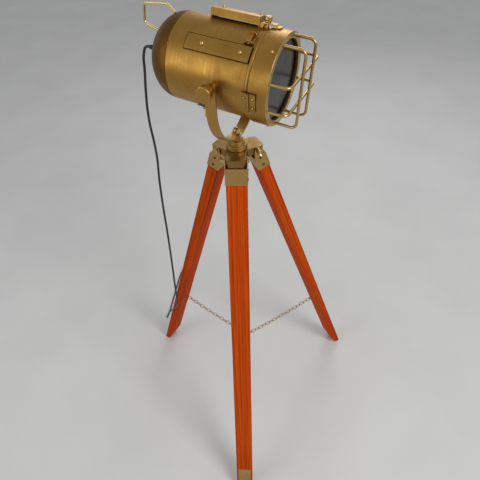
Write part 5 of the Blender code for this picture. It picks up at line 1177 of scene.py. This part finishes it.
def make_catch_lug():
    """A small folded lug: two side walls, the plate between them and a cross pin."""
    sheet, half, front, height, pin, proud = 0.0018, 0.0115, 0.018, 0.0105, 0.0020, 0.0025
    low, inset = DRUM_RADIUS + GAP, sheet / 4
    outline = eased(((0, low), (front, low), (front, low + height * 0.7), (front * 0.75, low + height),
                     (front * 0.35, low + height), (0, low + height * 0.5)), 0.0022, 4)
    joins = [prism(outline, *sorted((side * half, side * (half - sheet))), "Y") for side in (-1, 1)]
    reach = half + proud
    bar = turned(eased(((0, -reach), (pin, -reach), (pin, reach), (0, reach)), 0.0006), 28, "Y")
    joins.append(moved(bar, at(front * 0.55, 0, low + height * 0.6)))
    plate = block((inset, inset - half, low + inset), (front - inset, half - inset, low + sheet + inset))
    make("catch_lug", plate, BAR_BRASS, "lamp", LAMP @ on_drum(0.045, radians(25), 0), ease=0.0003,
         joins=joins)


def make_switch():
    """A switch block inside the drum, its bush and plate, its ring nut and the toggle in the bush."""
    plate, inner, well = DRUM_RADIUS + GAP, DRUM_RADIUS - DRUM_SHEET, 0.0042
    bush, half_length, half_width, depth = 0.0065, 0.014, 0.0075, 0.018
    inside = inner * cos(pi / 32) * cos(asin(half_width / inner)) - GAP
    place = LAMP @ on_drum(SWITCH_PLACE, SWITCH_ANGLE, 0)
    joins = (disc(SWITCH_BUSH_RADIUS, inside - GAP, plate + bush, 48),
             block((-0.017, -0.010, plate), (0.017, 0.010, plate + 0.0025)))
    cuts = (disc(well, plate - OVERRUN, plate + bush + OVERRUN, 40),)
    make("switch_body", block((-half_length, -half_width, inside - depth), (half_length, half_width, inside)),
         BLACK_PLASTIC, "lamp", place, ease=0.0006, joins=joins, cuts=cuts)
    bore, radius, low, high = 0.0061, 0.0078, plate + 0.0028, plate + 0.0046
    nut = turned(eased(((bore, low), (radius, low), (radius, high), (bore, high)), 0.0003), 40)
    make("switch_ring_nut", nut, BAR_BRASS, "lamp", place, node=())
    ball, stem, knob, tip = well - 2 * GAP, 0.0016, 0.0028, bush + 0.016
    lever = [(0, -ball * 0.8), (ball * 0.6, -ball * 0.7), (ball * 0.95, 0), (ball * 0.6, ball * 0.7),
             (stem, ball), (stem, bush), (knob, tip - knob), (knob * 0.7, tip), (0, tip)]
    make("switch_toggle", turned(eased(lever, 0.0009), 36), BRIGHT_BRASS, "switch_toggle",
         LAMP @ on_drum(SWITCH_PLACE, SWITCH_ANGLE, plate) @ spun(radians(12), "Y"))


# Inside the lamp

def make_reflector():
    """A bowl whose depth grows with the square of its radius, with a rolled rim."""
    rim, sheet, hole, front, back, roll = DRUM_RADIUS - DRUM_SHEET - GAP, 0.0010, 0.024, 0.060, -0.045, 0.004
    mouth = rim - sheet * 2
    bowl = [(radius, back + (front - back) * (radius ** 2 - hole ** 2) / (mouth ** 2 - hole ** 2))
            for radius in spread(hole, mouth, 36)]
    behind = [(radius + sheet * 0.8, x - sheet * 0.6) for radius, x in reversed(bowl[:-1])]
    profile = [*bowl, (rim, front), (rim, front - roll), (rim - sheet, front - roll), *behind]
    make("reflector", turned(profile, 2 * ROUND, "X"), SPUN_ALUMINIUM, "lamp", LAMP)


def make_lampholder():
    bore, radius, inner, back, shoulder, front = GLAND_RADIUS + GAP, 0.0195, 0.015, -0.098, -0.089, -0.048
    profile = ((bore, back), (radius * 0.7, back), (radius, shoulder), (radius, front), (inner, front),
               (inner, HOLDER_BACK), (bore, HOLDER_BACK))
    make("lampholder", turned(eased(profile, 0.0012), 64, "X"), PORCELAIN, "lamp", LAMP)


def make_bulb():
    """A round globe on a metal cap."""
    cap, cap_radius, neck, globe, middle = HOLDER_BACK + GAP, 0.0135, -0.028, 0.030, 0.012
    profile = [(0, cap), (cap_radius * 0.7, cap), (cap_radius, cap + 0.0045), (cap_radius, neck)]
    profile += [(globe * sin(a), middle - globe * cos(a)) for a in spread(radians(35), pi, 28)[:-1]]
    profile.append((0, middle + globe))
    bulb = make("bulb", turned(profile, 72, "X"), OPAL_GLASS, "lamp", LAMP, limit=50)
    paint(bulb, BULB_CAP, LAMP, lambda place, normal: place.x < neck - 0.002)


def make_gland_and_relief():
    """The hollow nipple through the dome's pole, and the tapered rubber sleeve with its ribs."""
    back, top, cup = POLE - GAP - GLAND_FLANGE, POLE - GAP, HOLDER_BACK - 2 * GAP
    bore, flange = 0.0035, 0.010
    profile = ((bore, back), (flange, back), (flange, top), (GLAND_RADIUS, top),
               (GLAND_RADIUS, cup), (bore, cup))
    make("gland_nipple", turned(eased(profile, 0.0005), 48, "X"), BRIGHT_BRASS, "lamp", LAMP)
    root, narrowing, groove = RELIEF_ROOT, 0.0024, 0.0007
    sleeve = [(0, root), (RELIEF_RADIUS, root), (RELIEF_RADIUS, root - 0.002)]
    for k in range(6):
        x = root - 0.0035 - k * 0.0030
        taper = RELIEF_RADIUS - narrowing * (root - x) / RELIEF_LENGTH
        sleeve += [(taper, x + 0.0006), (taper - groove, x), (taper - groove, x - 0.0009),
                   (taper - 0.0002, x - 0.0015)]
    sleeve += [(RELIEF_RADIUS - narrowing, RELIEF_END), (0, RELIEF_END)]
    make("strain_relief", turned(eased(sleeve, 0.0003, 2), 40, "X"), BLACK_RUBBER, "lamp", LAMP)


make_head_casting()
make_swivel_post()
for number, (leg_name, azimuth) in enumerate(LEGS.items()):
    hinge_place = leg_place(azimuth)
    make_leg(leg_name, hinge_place, number)
    for make_piece in (make_bracket, make_hinge_bolt, make_wing_nut, make_toe_plate, make_chain_eye):
        make_piece(leg_name, hinge_place)
    make_chain(leg_name, azimuth)
make_yoke()
make_yoke_nut()
make_trunnion_and_knob("far", 0)
make_trunnion_and_knob("near", pi)
make_drum_shell()
make_rear_dome()
make_rear_handle()
make_vent_cover("near")
make_vent_cover("far")
make_vent_hood()
make_hinge()
make_door()
make_clasp()
make_catch_lug()
make_switch()
make_reflector()
make_lampholder()
make_bulb()
make_gland_and_relief()

for head in (PLAIN_HEAD, SLOTTED_HEAD):
    bpy.data.objects.remove(head)
